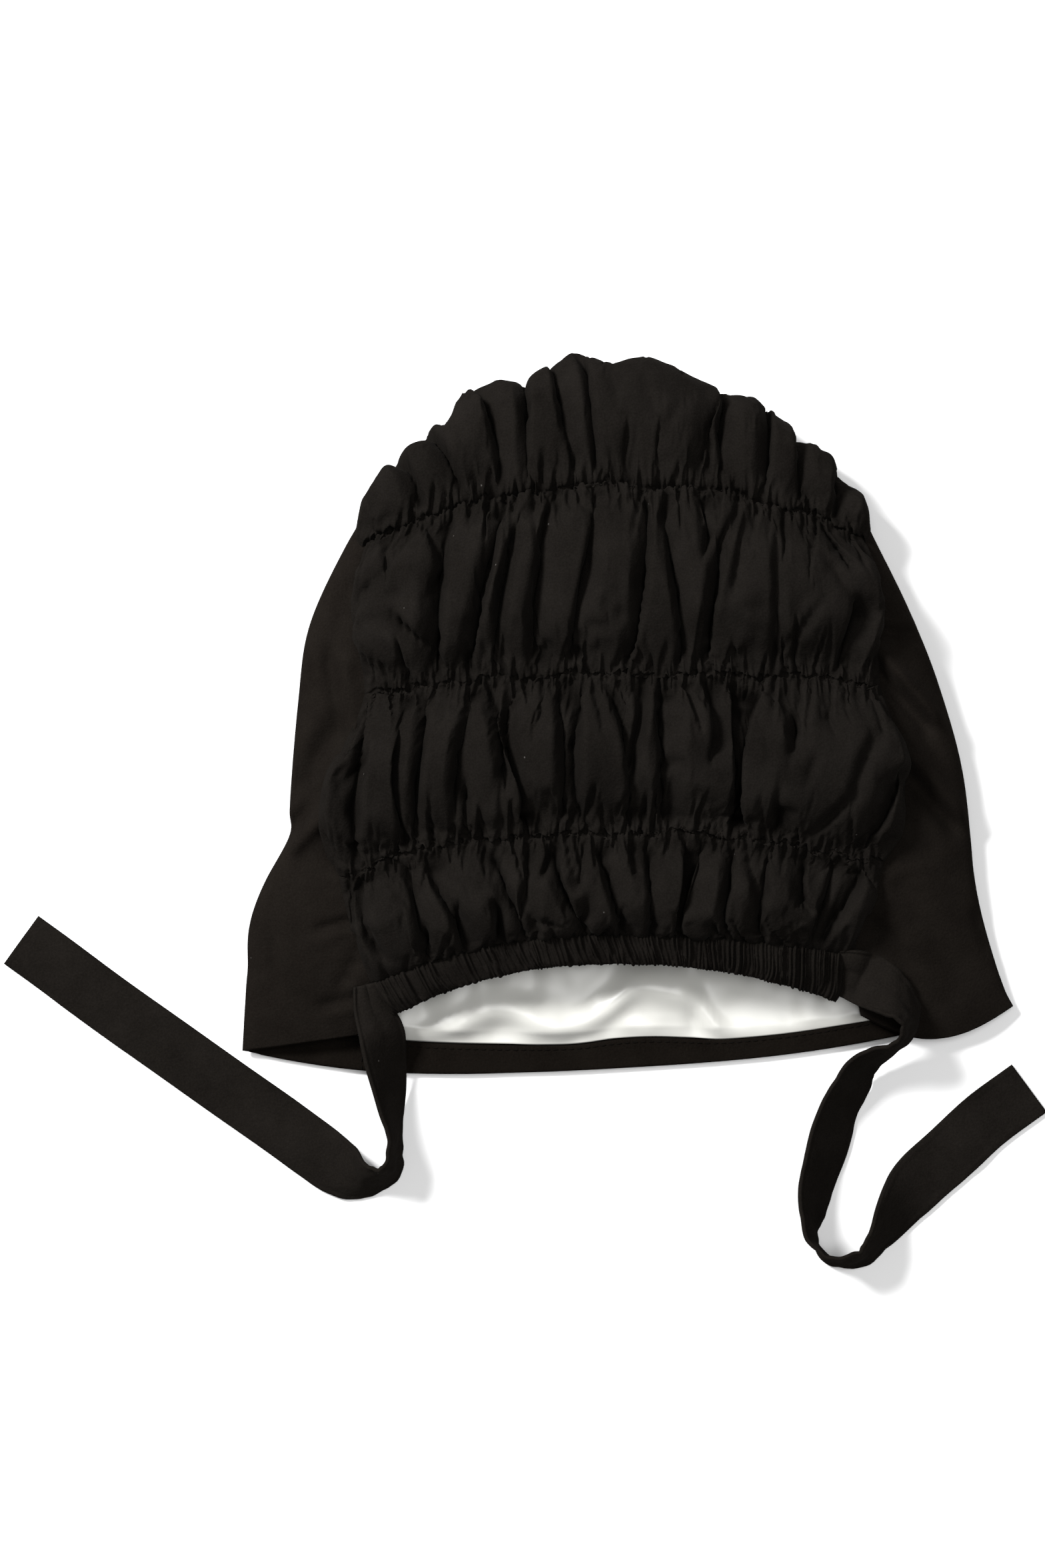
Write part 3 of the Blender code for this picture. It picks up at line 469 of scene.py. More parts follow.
def brushed_jersey(name, dark, light, grain=1.0, folded=False):
    """Brushed black jersey: a matte nap that catches the light on its edges. A folded piece
    also gets painted shade: its colour is darkened deep in its folds, where shade falls."""
    cloth = bpy.data.materials.new(name)
    cloth.use_nodes = True
    tree = cloth.node_tree
    shader = tree.nodes["Principled BSDF"]
    shader.inputs["Roughness"].default_value = 0.92
    shader.inputs["Specular IOR Level"].default_value = 0.0
    shader.inputs["Sheen Weight"].default_value = JERSEY_NAP
    shader.inputs["Sheen Roughness"].default_value = 0.42
    shader.inputs["Sheen Tint"].default_value = (1.0, 0.93, 0.86, 1)
    place = node(tree, "ShaderNodeTexCoord")
    patches = noise_texture(tree, place, scale=55.0, detail=6.0)
    patches.inputs["Roughness"].default_value = 0.65
    fibres = noise_texture(tree, place, scale=1500.0, detail=3.0)
    blend = node(tree, "ShaderNodeMix", data_type="FLOAT")
    blend.inputs[0].default_value = 0.45
    tree.links.new(patches.outputs["Fac"], blend.inputs[2])
    tree.links.new(fibres.outputs["Fac"], blend.inputs[3])
    shade = node(tree, "ShaderNodeValToRGB")
    shade.color_ramp.elements[0].position = 0.34
    shade.color_ramp.elements[0].color = (*dark, 1)
    shade.color_ramp.elements[1].position = 0.68
    shade.color_ramp.elements[1].color = (*light, 1)
    tree.links.new(blend.outputs[0], shade.inputs["Fac"])
    # a few specks of lint
    specks = node(tree, "ShaderNodeTexVoronoi")
    specks.inputs["Scale"].default_value = 62.0
    tree.links.new(place.outputs["Object"], specks.inputs["Vector"])
    is_speck = node(tree, "ShaderNodeMath", operation="LESS_THAN")
    is_speck.inputs[1].default_value = LINT_SIZE
    tree.links.new(specks.outputs["Distance"], is_speck.inputs[0])
    with_lint = node(tree, "ShaderNodeMix", data_type="RGBA")
    with_lint.inputs[7].default_value = LINT
    tree.links.new(is_speck.outputs[0], with_lint.inputs[0])
    tree.links.new(shade.outputs["Color"], with_lint.inputs[6])
    tree.links.new(with_lint.outputs[2], shader.inputs["Base Color"])
    # painted shade: deep in the folds the colour is darkened, down to 0.12 of it, where the folds shade
    # themselves
    if folded:
        fold_shade_height = node(tree, "ShaderNodeAttribute", attribute_name="fold_shade_height")
        painted_shade_ramp = node(tree, "ShaderNodeValToRGB")
        painted_shade_ramp.color_ramp.elements[0].color = (0.12, 0.12, 0.12, 1)
        painted_shade_ramp.color_ramp.elements[1].color = (1, 1, 1, 1)
        tree.links.new(fold_shade_height.outputs["Fac"], painted_shade_ramp.inputs["Fac"])
        with_painted_shade = node(tree, "ShaderNodeMix", data_type="RGBA", blend_type="MULTIPLY")
        with_painted_shade.inputs[0].default_value = 1.0
        tree.links.new(with_lint.outputs[2], with_painted_shade.inputs[6])
        tree.links.new(painted_shade_ramp.outputs["Color"], with_painted_shade.inputs[7])
        tree.links.new(with_painted_shade.outputs[2], shader.inputs["Base Color"])
    pile = noise_texture(tree, place, scale=900.0, detail=5.0)
    raised = node(tree, "ShaderNodeBump")
    raised.inputs["Strength"].default_value = 0.55 * grain
    raised.inputs["Distance"].default_value = 0.0004
    tree.links.new(pile.outputs["Fac"], raised.inputs["Height"])
    tree.links.new(raised.outputs["Normal"], shader.inputs["Normal"])
    return cloth


plain_jersey = brushed_jersey("brushed black jersey", (0.0046, 0.0037, 0.0031), (0.0083, 0.0069, 0.0057))

hood = grid_piece("hood_cloth", HOOD_COLUMNS, HOOD_ROWS + HOOD_CROWN_ROWS, hood_place, hood_keep)
face_up(hood, upward=False)
hood.data.materials.append(plain_jersey)
give_wall(hood, JERSEY)
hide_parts("hood_panel")
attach(hood, "root")


# Front hem. The front edge of the hood panel, turned in by about 10 mm and stitched
# down, so its band shows below the satin inside the open mouth.

HEM_CLOTH = 1.0
HEM_TOP_LEVEL = -0.65
# How much wider than its pattern the hem lies across the mouth
HemWidth = namedtuple("HemWidth", "x extra")
HEM_WIDTHS = (
    HemWidth(-140.0, 2.6), HemWidth(-85.0, 2.6), HemWidth(-60.0, 2.2), HemWidth(-30.0, 1.6),
    HemWidth(-18.0, 1.8), HemWidth(-5.0, 3.2), HemWidth(10.0, 3.6), HemWidth(22.0, 2.7),
    HemWidth(32.0, 1.6), HemWidth(45.0, 1.4), HemWidth(60.0, 1.6), HemWidth(75.0, 2.1),
    HemWidth(120.0, 2.4),
)
HEM_ROWS = 10
HEM_WAVE = 0.25


def hem_place(column, row):
    level = mix(HOOD_FOOT_LEVEL, HEM_TOP_LEVEL, row / HEM_ROWS)
    top = JERSEY + GAP + HEM_CLOTH
    point = hood_point(column, level, top)
    point[..., 2] += waves(point, 16.0, 6) * HEM_WAVE
    point[..., 1] += through_table(HEM_WIDTHS, "x", "extra", point[..., 0]) * row / HEM_ROWS
    return point


hem = grid_piece("front_hem_band", HOOD_COLUMNS, HEM_ROWS, hem_place)
face_up(hem, upward=True)
hem_jersey = brushed_jersey("inner black jersey", (0.0034, 0.0027, 0.0022), (0.0062, 0.0050, 0.0040))
hem.data.materials.append(hem_jersey)
give_wall(hem, HEM_CLOTH)
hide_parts("front_hem")
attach(hem, "root")


# Hem stitches. One line of black thread near the hem's turned edge, and a short line
# where the hem's ends are joined at the left.

STITCH_PITCH = 3.0
STITCH_LENGTH = 2.3
STITCH_WIDTH = 0.55
STITCH_HEIGHT = 0.45
STITCH_RAISED = 0.12
STITCH_ROW = HEM_ROWS * 0.86
STITCH_SEAM_X = -99.2
HEM_LEFT_X = -136.8
HEM_LENGTH = 274.3


def hem_surface(column, row):
    """A place on the hem and the surface's own sideways direction there."""
    at = hem_place(np.array([column, column + 0.02]), np.array([row, row], float))
    along = at[1] - at[0]
    return at[0], along / np.linalg.norm(along)


stitches = bmesh.new()
floor_start = HOOD_SIDE_COLUMNS + HOOD_TURN_COLUMNS
spots = []
column = floor_start + 0.3
while column < floor_start + HOOD_FLOOR_COLUMNS - 0.3:
    place, along = hem_surface(column, STITCH_ROW)
    spots.append((place, along))
    step = np.linalg.norm(hem_surface(column + 0.1, STITCH_ROW)[0] - place) * 10
    column += STITCH_PITCH / step
seam_column = floor_start + HOOD_FLOOR_COLUMNS * (STITCH_SEAM_X - HEM_LEFT_X) / HEM_LENGTH
for row in np.linspace(0.8, HEM_ROWS - 1.2, 4):
    place, along = hem_surface(seam_column, row)
    spots.append((place, np.array((-along[1], along[0], 0.0))))
for place, along in spots:
    made = bmesh.ops.create_uvsphere(stitches, u_segments=6, v_segments=5, radius=0.5)
    centre = (place + np.array((0, 0, STITCH_RAISED)) + MIDDLE_MM) * MM
    side = np.array((-along[1], along[0], 0.0))
    for vert in made["verts"]:
        x, y, z = vert.co
        flat = along * x * STITCH_LENGTH + side * y * STITCH_WIDTH
        vert.co = centre + MM * (flat + np.array((0, 0, z * STITCH_HEIGHT)))
stitch_line = finished_mesh("hem_stitches", stitches)
thread = brushed_jersey("black thread", (0.0030, 0.0026, 0.0022), (0.0050, 0.0043, 0.0038), grain=0.2)
stitch_line.data.materials.append(thread)
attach(stitch_line, "root")


# Back panel. The same jersey, cut much wider than it lies: three rows of elastic
# thread gather it into four tiers of puffs, and the top tier is drawn over the crown.

TIER_PUFF = (10.5, 13.0, 13.0, 11.5)
CROWN_RIM_PUFF = 0.4
BACK_COLUMNS = 430
BACK_ROWS = 220
TIER_ROWS = 56
CROWN_ROWS = 40

# Every fold that shows. start and end are shares of its tier's height, and x1 to x4 its
# places from start to end. It cuts in by depth, steeply on one side, where that puff
# hangs over it, and over the reach on its soft side: -1 left, 1 right, 0 neither.
Pleat = namedtuple("Pleat", "tier start end x1 x2 x3 x4 depth soft reach")
PLEATS = (
    Pleat(0, 0.30, 1.10, -96.0, -98.4, -100.9, -102.5, 0.7, -1, 5.0),
    Pleat(0, 0.10, 1.10, -86.0, -91.5, -95.8, -97.5, 0.8, -1, 5.0),
    Pleat(0, -0.10, 1.10, -74.5, -76.7, -80.8, -85.0, 0.85, 1, 6.0),
    Pleat(0, -0.10, 1.10, -62.5, -63.3, -71.1, -75.0, 1, 1, 7.0),
    Pleat(0, -0.10, 0.57, -48.0, -48.3, -49.3, -51.2, 0.9, 1, 4.0),
    Pleat(0, -0.10, 1.10, -37.5, -40.1, -45.5, -54.5, 0.9, -1, 6.0),
    Pleat(0, -0.10, 1.10, -37.5, -38.9, -37.9, -35.0, 0.7, 1, 5.0),
    Pleat(0, 0.66, 1.10, -32.0, -30.7, -29.5, -29.5, 0.8, 1, 4.0),
    Pleat(0, 0.18, 0.32, -26.2, -27.9, -29.6, -31.2, 0.5, -1, 5.0),
    Pleat(0, -0.10, 1.10, -14.5, -19.1, -25.3, -25.0, 1, -1, 5.0),
    Pleat(0, 0.50, 1.10, -18.5, -17.5, -16.4, -16.2, 0.6, -1, 4.0),
    Pleat(0, -0.10, 1.10, -2.5, -5.3, -9.7, -11.8, 1, 1, 6.0),
    Pleat(0, -0.10, 1.10, 7.5, 6.8, 6.4, 6.2, 0.9, 1, 4.0),
    Pleat(0, 0.64, 1.10, 1.2, 1.2, 1.2, 1.2, 0.5, 1, 4.0),
    Pleat(0, -0.10, 1.10, 20.0, 18.8, 21.8, 23.8, 1.0, 0, 6.0),
    Pleat(0, 0.29, 1.10, 21.2, 25.1, 27.7, 28.8, 0.8, 1, 5.0),
    Pleat(0, -0.10, 0.30, 35.0, 34.7, 32.6, 30.5, 0.8, -1, 5.0),
    Pleat(0, 0.18, 1.10, 35.8, 36.7, 38.0, 38.8, 0.95, -1, 5.0),
    Pleat(0, 0.46, 1.10, 47.5, 45.3, 43.1, 42.5, 0.6, 1, 5.0),
    Pleat(0, -0.10, 1.10, 50.0, 48.2, 50.7, 51.2, 0.95, -1, 6.0),
    Pleat(0, 0.39, 1.10, 66.8, 64.0, 65.1, 65.5, 0.8, -1, 6.0),
    Pleat(0, -0.10, 1.10, 67.0, 68.5, 72.5, 77.0, 0.85, 1, 6.0),
    Pleat(0, -0.10, 1.10, 71.2, 74.6, 81.1, 85.5, 0.9, -1, 5.0),
    Pleat(0, -0.10, 1.10, 80.5, 84.5, 90.8, 94.5, 0.8, 1, 5.0),
    Pleat(1, -0.10, 1.10, -95.0, -98.3, -95.9, -93.8, 0.9, -1, 5.0),
    Pleat(1, -0.10, 0.77, -82.0, -83.8, -85.3, -82.0, 0.7, 1, 5.0),
    Pleat(1, -0.10, 1.10, -75.0, -75.0, -73.0, -74.2, 0.9, -1, 5.0),
    Pleat(1, 0.17, 1.10, -63.0, -63.9, -60.4, -57.0, 0.75, 1, 7.0),
    Pleat(1, -0.10, 0.47, -58.8, -58.8, -58.8, -60.0, 0.7, -1, 4.0),
    Pleat(1, 0.29, 1.10, -45.8, -45.8, -49.2, -51.2, 1, -1, 5.0),
    Pleat(1, -0.10, 1.10, -38.8, -40.0, -43.8, -43.8, 0.95, 1, 5.0),
    Pleat(1, -0.10, 1.10, -26.2, -25.5, -25.4, -26.8, 0.8, 1, 5.0),
    Pleat(1, -0.10, 1.10, -13.8, -18.5, -18.1, -14.5, 0.95, -1, 5.0),
    Pleat(1, -0.10, 1.10, 0.0, -1.4, -5.1, -13.0, 0.85, 1, 6.0),
    Pleat(1, 0.30, 1.10, 1.2, 3.9, 5.0, 5.5, 0.9, -1, 4.0),
    Pleat(1, -0.10, 1.10, 18.0, 10.4, 10.2, 11.2, 0.8, 1, 7.0),
    Pleat(1, 0.44, 1.10, 26.2, 29.4, 28.1, 27.5, 0.7, 1, 7.0),
    Pleat(1, -0.10, 1.10, 41.5, 38.9, 40.4, 43.5, 1.0, 0, 9.5),
    Pleat(1, -0.10, 0.30, 52.5, 52.6, 53.5, 54.5, 0.6, 1, 6.0),
    Pleat(1, 0.55, 1.10, 59.5, 57.3, 55.3, 55.0, 0.5, 1, 7.0),
    Pleat(1, 0.65, 1.10, 75.0, 72.7, 71.4, 71.2, 0.4, -1, 8.0),
    Pleat(1, -0.10, 0.57, 84.5, 87.3, 92.6, 98.8, 0.7, -1, 7.0),
    Pleat(2, 0.18, 1.10, -95.0, -96.0, -82.2, -75.0, 0.35, -1, 8.0),
    Pleat(2, -0.10, 0.52, -62.5, -67.1, -77.8, -87.0, 0.5, -1, 8.0),
    Pleat(2, 0.50, 1.10, -75.0, -68.8, -74.1, -75.0, 0.6, 1, 7.0),
    Pleat(2, -0.10, 1.10, -68.8, -68.7, -66.0, -63.8, 0.95, -1, 8.0),
    Pleat(2, -0.10, 1.10, -54.5, -55.1, -47.4, -47.5, 1, -1, 7.0),
    Pleat(2, -0.10, 0.90, -48.8, -48.7, -44.8, -37.5, 0.8, 1, 4.0),
    Pleat(2, -0.10, 1.10, -36.2, -36.2, -32.5, -27.0, 0.85, 1, 7.0),
    Pleat(2, -0.10, 1.10, -22.5, -21.0, -15.7, -13.8, 0.95, 1, 6.0),
    Pleat(2, -0.10, 1.10, -7.5, 4.0, 6.9, 5.5, 1, -1, 6.0),
    Pleat(2, -0.10, 1.10, 15.0, 17.3, 12.7, 15.0, 0.9, 1, 5.0),
    Pleat(2, 0.61, 1.10, 25.8, 26.2, 26.2, 26.2, 1, 1, 5.0),
    Pleat(2, -0.10, 0.85, 30.0, 30.3, 33.0, 37.5, 1, -1, 6.0),
    Pleat(2, 0.42, 0.89, 36.2, 38.9, 40.6, 42.0, 0.3, 1, 6.0),
    Pleat(2, -0.10, 1.10, 52.5, 52.5, 52.5, 52.5, 0.35, 1, 3.0),
    Pleat(2, 0.67, 1.10, 80.5, 74.9, 69.1, 68.0, 0.7, -1, 6.0),
    Pleat(2, -0.10, 0.58, 75.0, 76.3, 78.9, 80.5, 0.7, 1, 6.0),
    Pleat(3, -0.10, 1.10, -75.0, -78.0, -82.4, -85.8, 0.75, -1, 6.0),
    Pleat(3, -0.10, 1.10, -56.2, -64.4, -70.7, -75.0, 0.8, -1, 7.0),
    Pleat(3, -0.10, 1.10, -46.2, -49.4, -54.6, -62.5, 0.8, 1, 6.0),
    Pleat(3, -0.10, 1.10, -37.5, -36.2, -36.2, -34.2, 1, -1, 5.0),
    Pleat(3, -0.10, 1.10, -13.8, -24.7, -27.8, -28.8, 0.9, 1, 5.0),
    Pleat(3, -0.10, 0.81, -10.0, -11.9, -14.0, -17.5, 0.8, -1, 4.0),
    Pleat(3, -0.10, 0.28, -1.2, -1.5, -1.6, 0.0, 0.45, 1, 4.0),
    Pleat(3, -0.10, 0.30, 11.2, 10.7, 9.7, 11.2, 0.4, 1, 4.0),
    Pleat(3, -0.10, 0.50, 25.0, 25.7, 27.8, 30.5, 0.6, -1, 6.0),
    Pleat(3, -0.10, 0.34, 28.8, 28.7, 28.3, 28.0, 0.7, 1, 3.0),
    Pleat(3, -0.10, 1.10, 33.8, 32.5, 32.4, 30.5, 1, 1, 6.0),
    Pleat(3, -0.10, 1.10, 50.0, 50.9, 51.6, 48.8, 0.8, -1, 5.0),
    Pleat(3, -0.10, 1.10, 62.5, 61.5, 60.8, 61.2, 0.7, 1, 5.0),
    Pleat(3, -0.10, 1.10, 75.0, 75.6, 76.2, 76.2, 0.8, 1, 7.0),
)
STEEP_REACH = 3.4
SOFT_REACH_RIGHT = 1.6
SOFT_REACH_LEFT = 1.15
OVERHANG_REACH = 1.7
OVERHANG = 1.1
HOLLOW_OVERHANG = 3.2


def pleat_x(pleat, t):
    """The pleat's place, smooth through its four values, t from 0 at its start to 1."""
    a, b, c = 3 * t, 3 * t - 1, 3 * t - 2
    d = 3 * t - 3
    low = pleat.x1 * b * c * d / -6 + pleat.x2 * a * c * d / 2
    return low + pleat.x3 * a * b * d / -2 + pleat.x4 * a * b * c / 6


def round_edge(r):
    """How far a puff's rounded edge has dropped, 1 at r = 0 and 0 from r = 1 on."""
    r = np.clip(r, 0, 1)
    return 1 - np.sqrt(2 * r - r * r)


rng = np.random.default_rng(7)
# The tucks at the rows, where the elastic threads gather the cloth: fine ones that run
# through a row, and longer ones that reach up or down into a puff.
Tuck = namedtuple("Tuck", "x drift length depth reach")
LONG_TUCK_PITCH = 5.2
FINE_TUCK_PITCH = 2.1
LONGEST_FINE_TUCK = 8.0
LONGEST_TUCK = 17.0
# The side of the third row that faces the crown has shorter ones
CROWN_SIDE = 6
LONGEST_CROWN_TUCK = 9.0


def row_of_tucks(pitch, longest, depths, reaches):
    made = []
    x = -112.0
    while x < 105.0:
        length = rng.uniform(0.3, 1.0) * longest
        drift = rng.uniform(-0.3, 0.3) * length
        made.append(Tuck(x, drift, length, rng.uniform(*depths), rng.uniform(*reaches)))
        x += pitch * rng.uniform(0.5, 1.5)
    return made


# One set of fine tucks for each row, and long ones for each side of each row
FINE_TUCKS = [
    row_of_tucks(FINE_TUCK_PITCH, LONGEST_FINE_TUCK, (0.4, 0.95), (0.9, 1.5)) for _ in range(4)
]
LONG_TUCKS = []
for row_side in range(8):
    longest = LONGEST_CROWN_TUCK if row_side == CROWN_SIDE else LONGEST_TUCK
    LONG_TUCKS.append(row_of_tucks(LONG_TUCK_PITCH, longest, (0.3, 0.85), (1.4, 3.0)))


def cut_by_tucks(tucks, x, away):
    """The share of height that is left at x, away mm from the row."""
    left = np.ones_like(x)
    for tuck in tucks:
        t = away / tuck.length
        fade = np.clip(1 - t, 0, 1)
        distance = np.abs(x - tuck.x - tuck.drift * t)
        r = np.clip(distance / (tuck.reach * (0.4 + 0.6 * fade)), 0, 1)
        left = left * (1 - tuck.depth * np.sqrt(fade) * (1 - r) ** 1.4)
    return left


def gathers(x, level):
    """(height share, sideways pull in mm) of the folded cloth."""
    tier = np.minimum(level.astype(int), 3)
    climb = np.clip(level - tier, 0, 1)
    height = np.ones_like(x)
    pull = np.zeros_like(x)
    for number in range(4):
        here = tier == number
        climbs, xs = climb[here], x[here]
        stand, lean = np.ones_like(xs), np.zeros_like(xs)
        for pleat in PLEATS:
            if pleat.tier != number:
                continue
            t = (climbs - pleat.start) / (pleat.end - pleat.start)
            ends = np.clip(np.minimum(t, 1 - t) * 5, 0, 1)
            distance = xs - pleat_x(pleat, np.clip(t, 0, 1))
            soft = distance * pleat.soft > 0
            reach = pleat.reach * (SOFT_REACH_RIGHT if pleat.soft > 0 else SOFT_REACH_LEFT)
            slope = (1 - np.clip(np.abs(distance) / reach, 0, 1)) ** 1.5
            floor = pleat.reach / 2.2 * (0.7 + 0.6 * climbs) if pleat.soft == 0 else 0
            steep = round_edge((np.abs(distance) - floor) / STEEP_REACH)
            depth = pleat.depth * ends
            stand *= 1 - depth * np.where(soft, slope, steep)
            near = np.clip((np.abs(distance) - floor) / (OVERHANG_REACH * STEEP_REACH), 0, 1)
            overhang = HOLLOW_OVERHANG if pleat.soft == 0 else OVERHANG
            over = -np.sign(distance) * np.sin(math.pi * near) * overhang * depth
            lean += np.where(soft, 0.0, over)
        height[here] = stand
        pull[here] = lean
    return height, pull


TIER_MM = 45.0
SCALLOP = 1.5
ROW_LIFT = 5.0
FINE_TUCK_DEPTH = 2.4
BACK_WIDTH = 190
# How much the puffs differ, and the soft ridges on them
PUFFS_VARY = 0.25
SOFT_RIDGE = 1.1
SOFT_SLANT = 0.9
# How far a row strays from its line, in long waves and in short ones
ROW_WANDER = 2.4
ROW_RIPPLE = 1.6
ROW_WANDER_REACH = 7
# How the panel bulges and laps at its side seams, over the crown and behind the casing
SIDE_BULGE = 3.4
SIDE_BULGE_WIDTH = 12
SEAM_LAP = 0.9
SEAM_LAP_HEIGHT = 0.3
CROWN_LAP = 2.6
FOOT_TUCKED_BACK = 1.6
FOOT_TUCKED_DOWN = 1.4
LEAST_BACK_HEIGHT = 0.05
CRINKLE = 0.3
# Short creases pressed into the puffs: the middle, the run to one end, width and depth
Dent = namedtuple("Dent", "x y run_x run_y width depth")
DENTS = (
    Dent(59.2, -5.5, 0.8, 9.0, 1.5, 4.5),
    Dent(53.5, -34.0, 1.0, 7.0, 1.6, 4.0),
    Dent(74.0, -36.0, 8.0, 8.0, 1.8, 5.0),
    Dent(85.0, -16.0, 4.0, 9.0, 2.2, 5.0),
    Dent(66.0, -20.0, 3.0, 6.0, 2.0, 2.0),
    Dent(64.0, 34.0, 6.0, 8.0, 1.6, 3.0),
    Dent(74.0, 50.0, 5.0, -7.0, 1.8, 3.5),
    Dent(-6.0, 38.0, 6.0, -4.0, 1.6, 2.6),
    Dent(-62.5, -78.0, 0.6, 8.0, 2.4, 9.0),
    Dent(-48.8, -80.0, 0.4, 6.0, 2.0, 8.0),
    Dent(-34.0, -77.0, -0.4, 5.0, 1.8, 6.0),
    Dent(-15.5, -75.0, 0.6, 6.5, 2.4, 9.0),
    Dent(-2.5, -77.0, 0.3, 5.0, 1.6, 6.0),
    Dent(8.0, -78.0, 0.2, 4.5, 1.6, 6.0),
    Dent(20.0, -79.5, -0.5, 6.5, 2.4, 9.0),
    Dent(36.0, -79.0, 0.3, 5.0, 1.8, 6.5),
    Dent(50.0, -80.0, 0.3, 5.0, 1.8, 6.5),
    Dent(-76.0, -84.0, 0.6, 6.0, 1.8, 6.0),
    Dent(57.5, -14.2, 5.0, 0.3, 1.6, 2.6),
    Dent(15.0, -18.5, 3.0, -1.5, 1.4, 1.6),
    Dent(9.0, -34.0, 3.5, 0.8, 1.6, 1.6),
    Dent(29.0, -33.0, 2.0, -3.0, 1.8, 1.4),
    Dent(45.0, 38.0, 4.5, 0.6, 1.6, 1.6),
    Dent(-8.0, 46.0, 5.0, -3.5, 2.0, 1.6),
    Dent(4.0, 48.0, 4.0, 3.0, 2.0, 1.4),
    Dent(-10.0, 33.0, 7.0, 4.0, 2.4, 1.2),
    Dent(-86.0, 42.0, 6.0, -1.5, 3.0, 2.4),
    Dent(66.0, 44.0, 7.0, 7.0, 2.4, 1.4),
    Dent(-58.0, 110.0, 4.0, -1.6, 1.5, 3.0),
    Dent(-59.0, 106.5, 3.0, 0.0, 1.0, 1.6),
    Dent(-2.0, 104.0, 4.5, -2.0, 2.2, 1.6),
    Dent(8.0, 106.0, 2.5, -3.5, 1.6, 1.2),
    Dent(16.0, 103.0, 3.0, 2.5, 2.4, 1.2),
    Dent(-38.0, 100.0, 1.0, 7.0, 2.0, 1.4),
)


def dents_at(x, y):
    total = np.zeros_like(x)
    for dent in DENTS:
        run = np.array((dent.run_x, dent.run_y))
        half = np.linalg.norm(run)
        along = ((x - dent.x) * run[0] + (y - dent.y) * run[1]) / half
        across = ((y - dent.y) * run[0] - (x - dent.x) * run[1]) / half
        total += dent.depth * np.exp(-((along / half) ** 2) - (across / dent.width) ** 2)
    return total


def back_levels():
    """Level by row, close together at the gathers, where the cloth turns sharply."""
    steps = []
    for tier in range(3):
        share = np.linspace(0, 1, TIER_ROWS, endpoint=False)
        steps.append(tier + share - 0.1 * np.sin(2 * math.pi * share))
    share = np.linspace(0, 1, CROWN_ROWS, endpoint=False)
    steps.append(3 + share**1.3)
    steps.append(np.linspace(4, 5, BACK_ROWS + 1 - 3 * TIER_ROWS - CROWN_ROWS))
    return np.concatenate(steps)


BACK_LEVELS = back_levels()


def row_swell(level):
    """(share of its full puff, mm from the nearest row, that row, above the middle) of a level."""
    tier = np.minimum(level.astype(int), 3)
    climb = np.clip(level - tier, 0, 1)
    swell = np.sin(math.pi * climb) ** np.where((tier == 0) & (climb < 0.5), 0.6, 0.85)
    crown = np.sin(math.pi / 2 * np.minimum(1, climb / 0.45)) ** 0.7
    crown = crown * mix(1, CROWN_RIM_PUFF, np.clip(climb - 0.45, 0, 1) / 0.55)
    under = CROWN_RIM_PUFF * np.maximum(0, 1 - (level - 4) / 0.7)
    crown = np.where(level > 4, under, crown)
    upper = (climb > 0.5) & (tier < 3)
    away = np.where(upper, 1 - climb, climb) * TIER_MM
    return np.where(tier == 3, crown, swell), away, tier + upper, upper


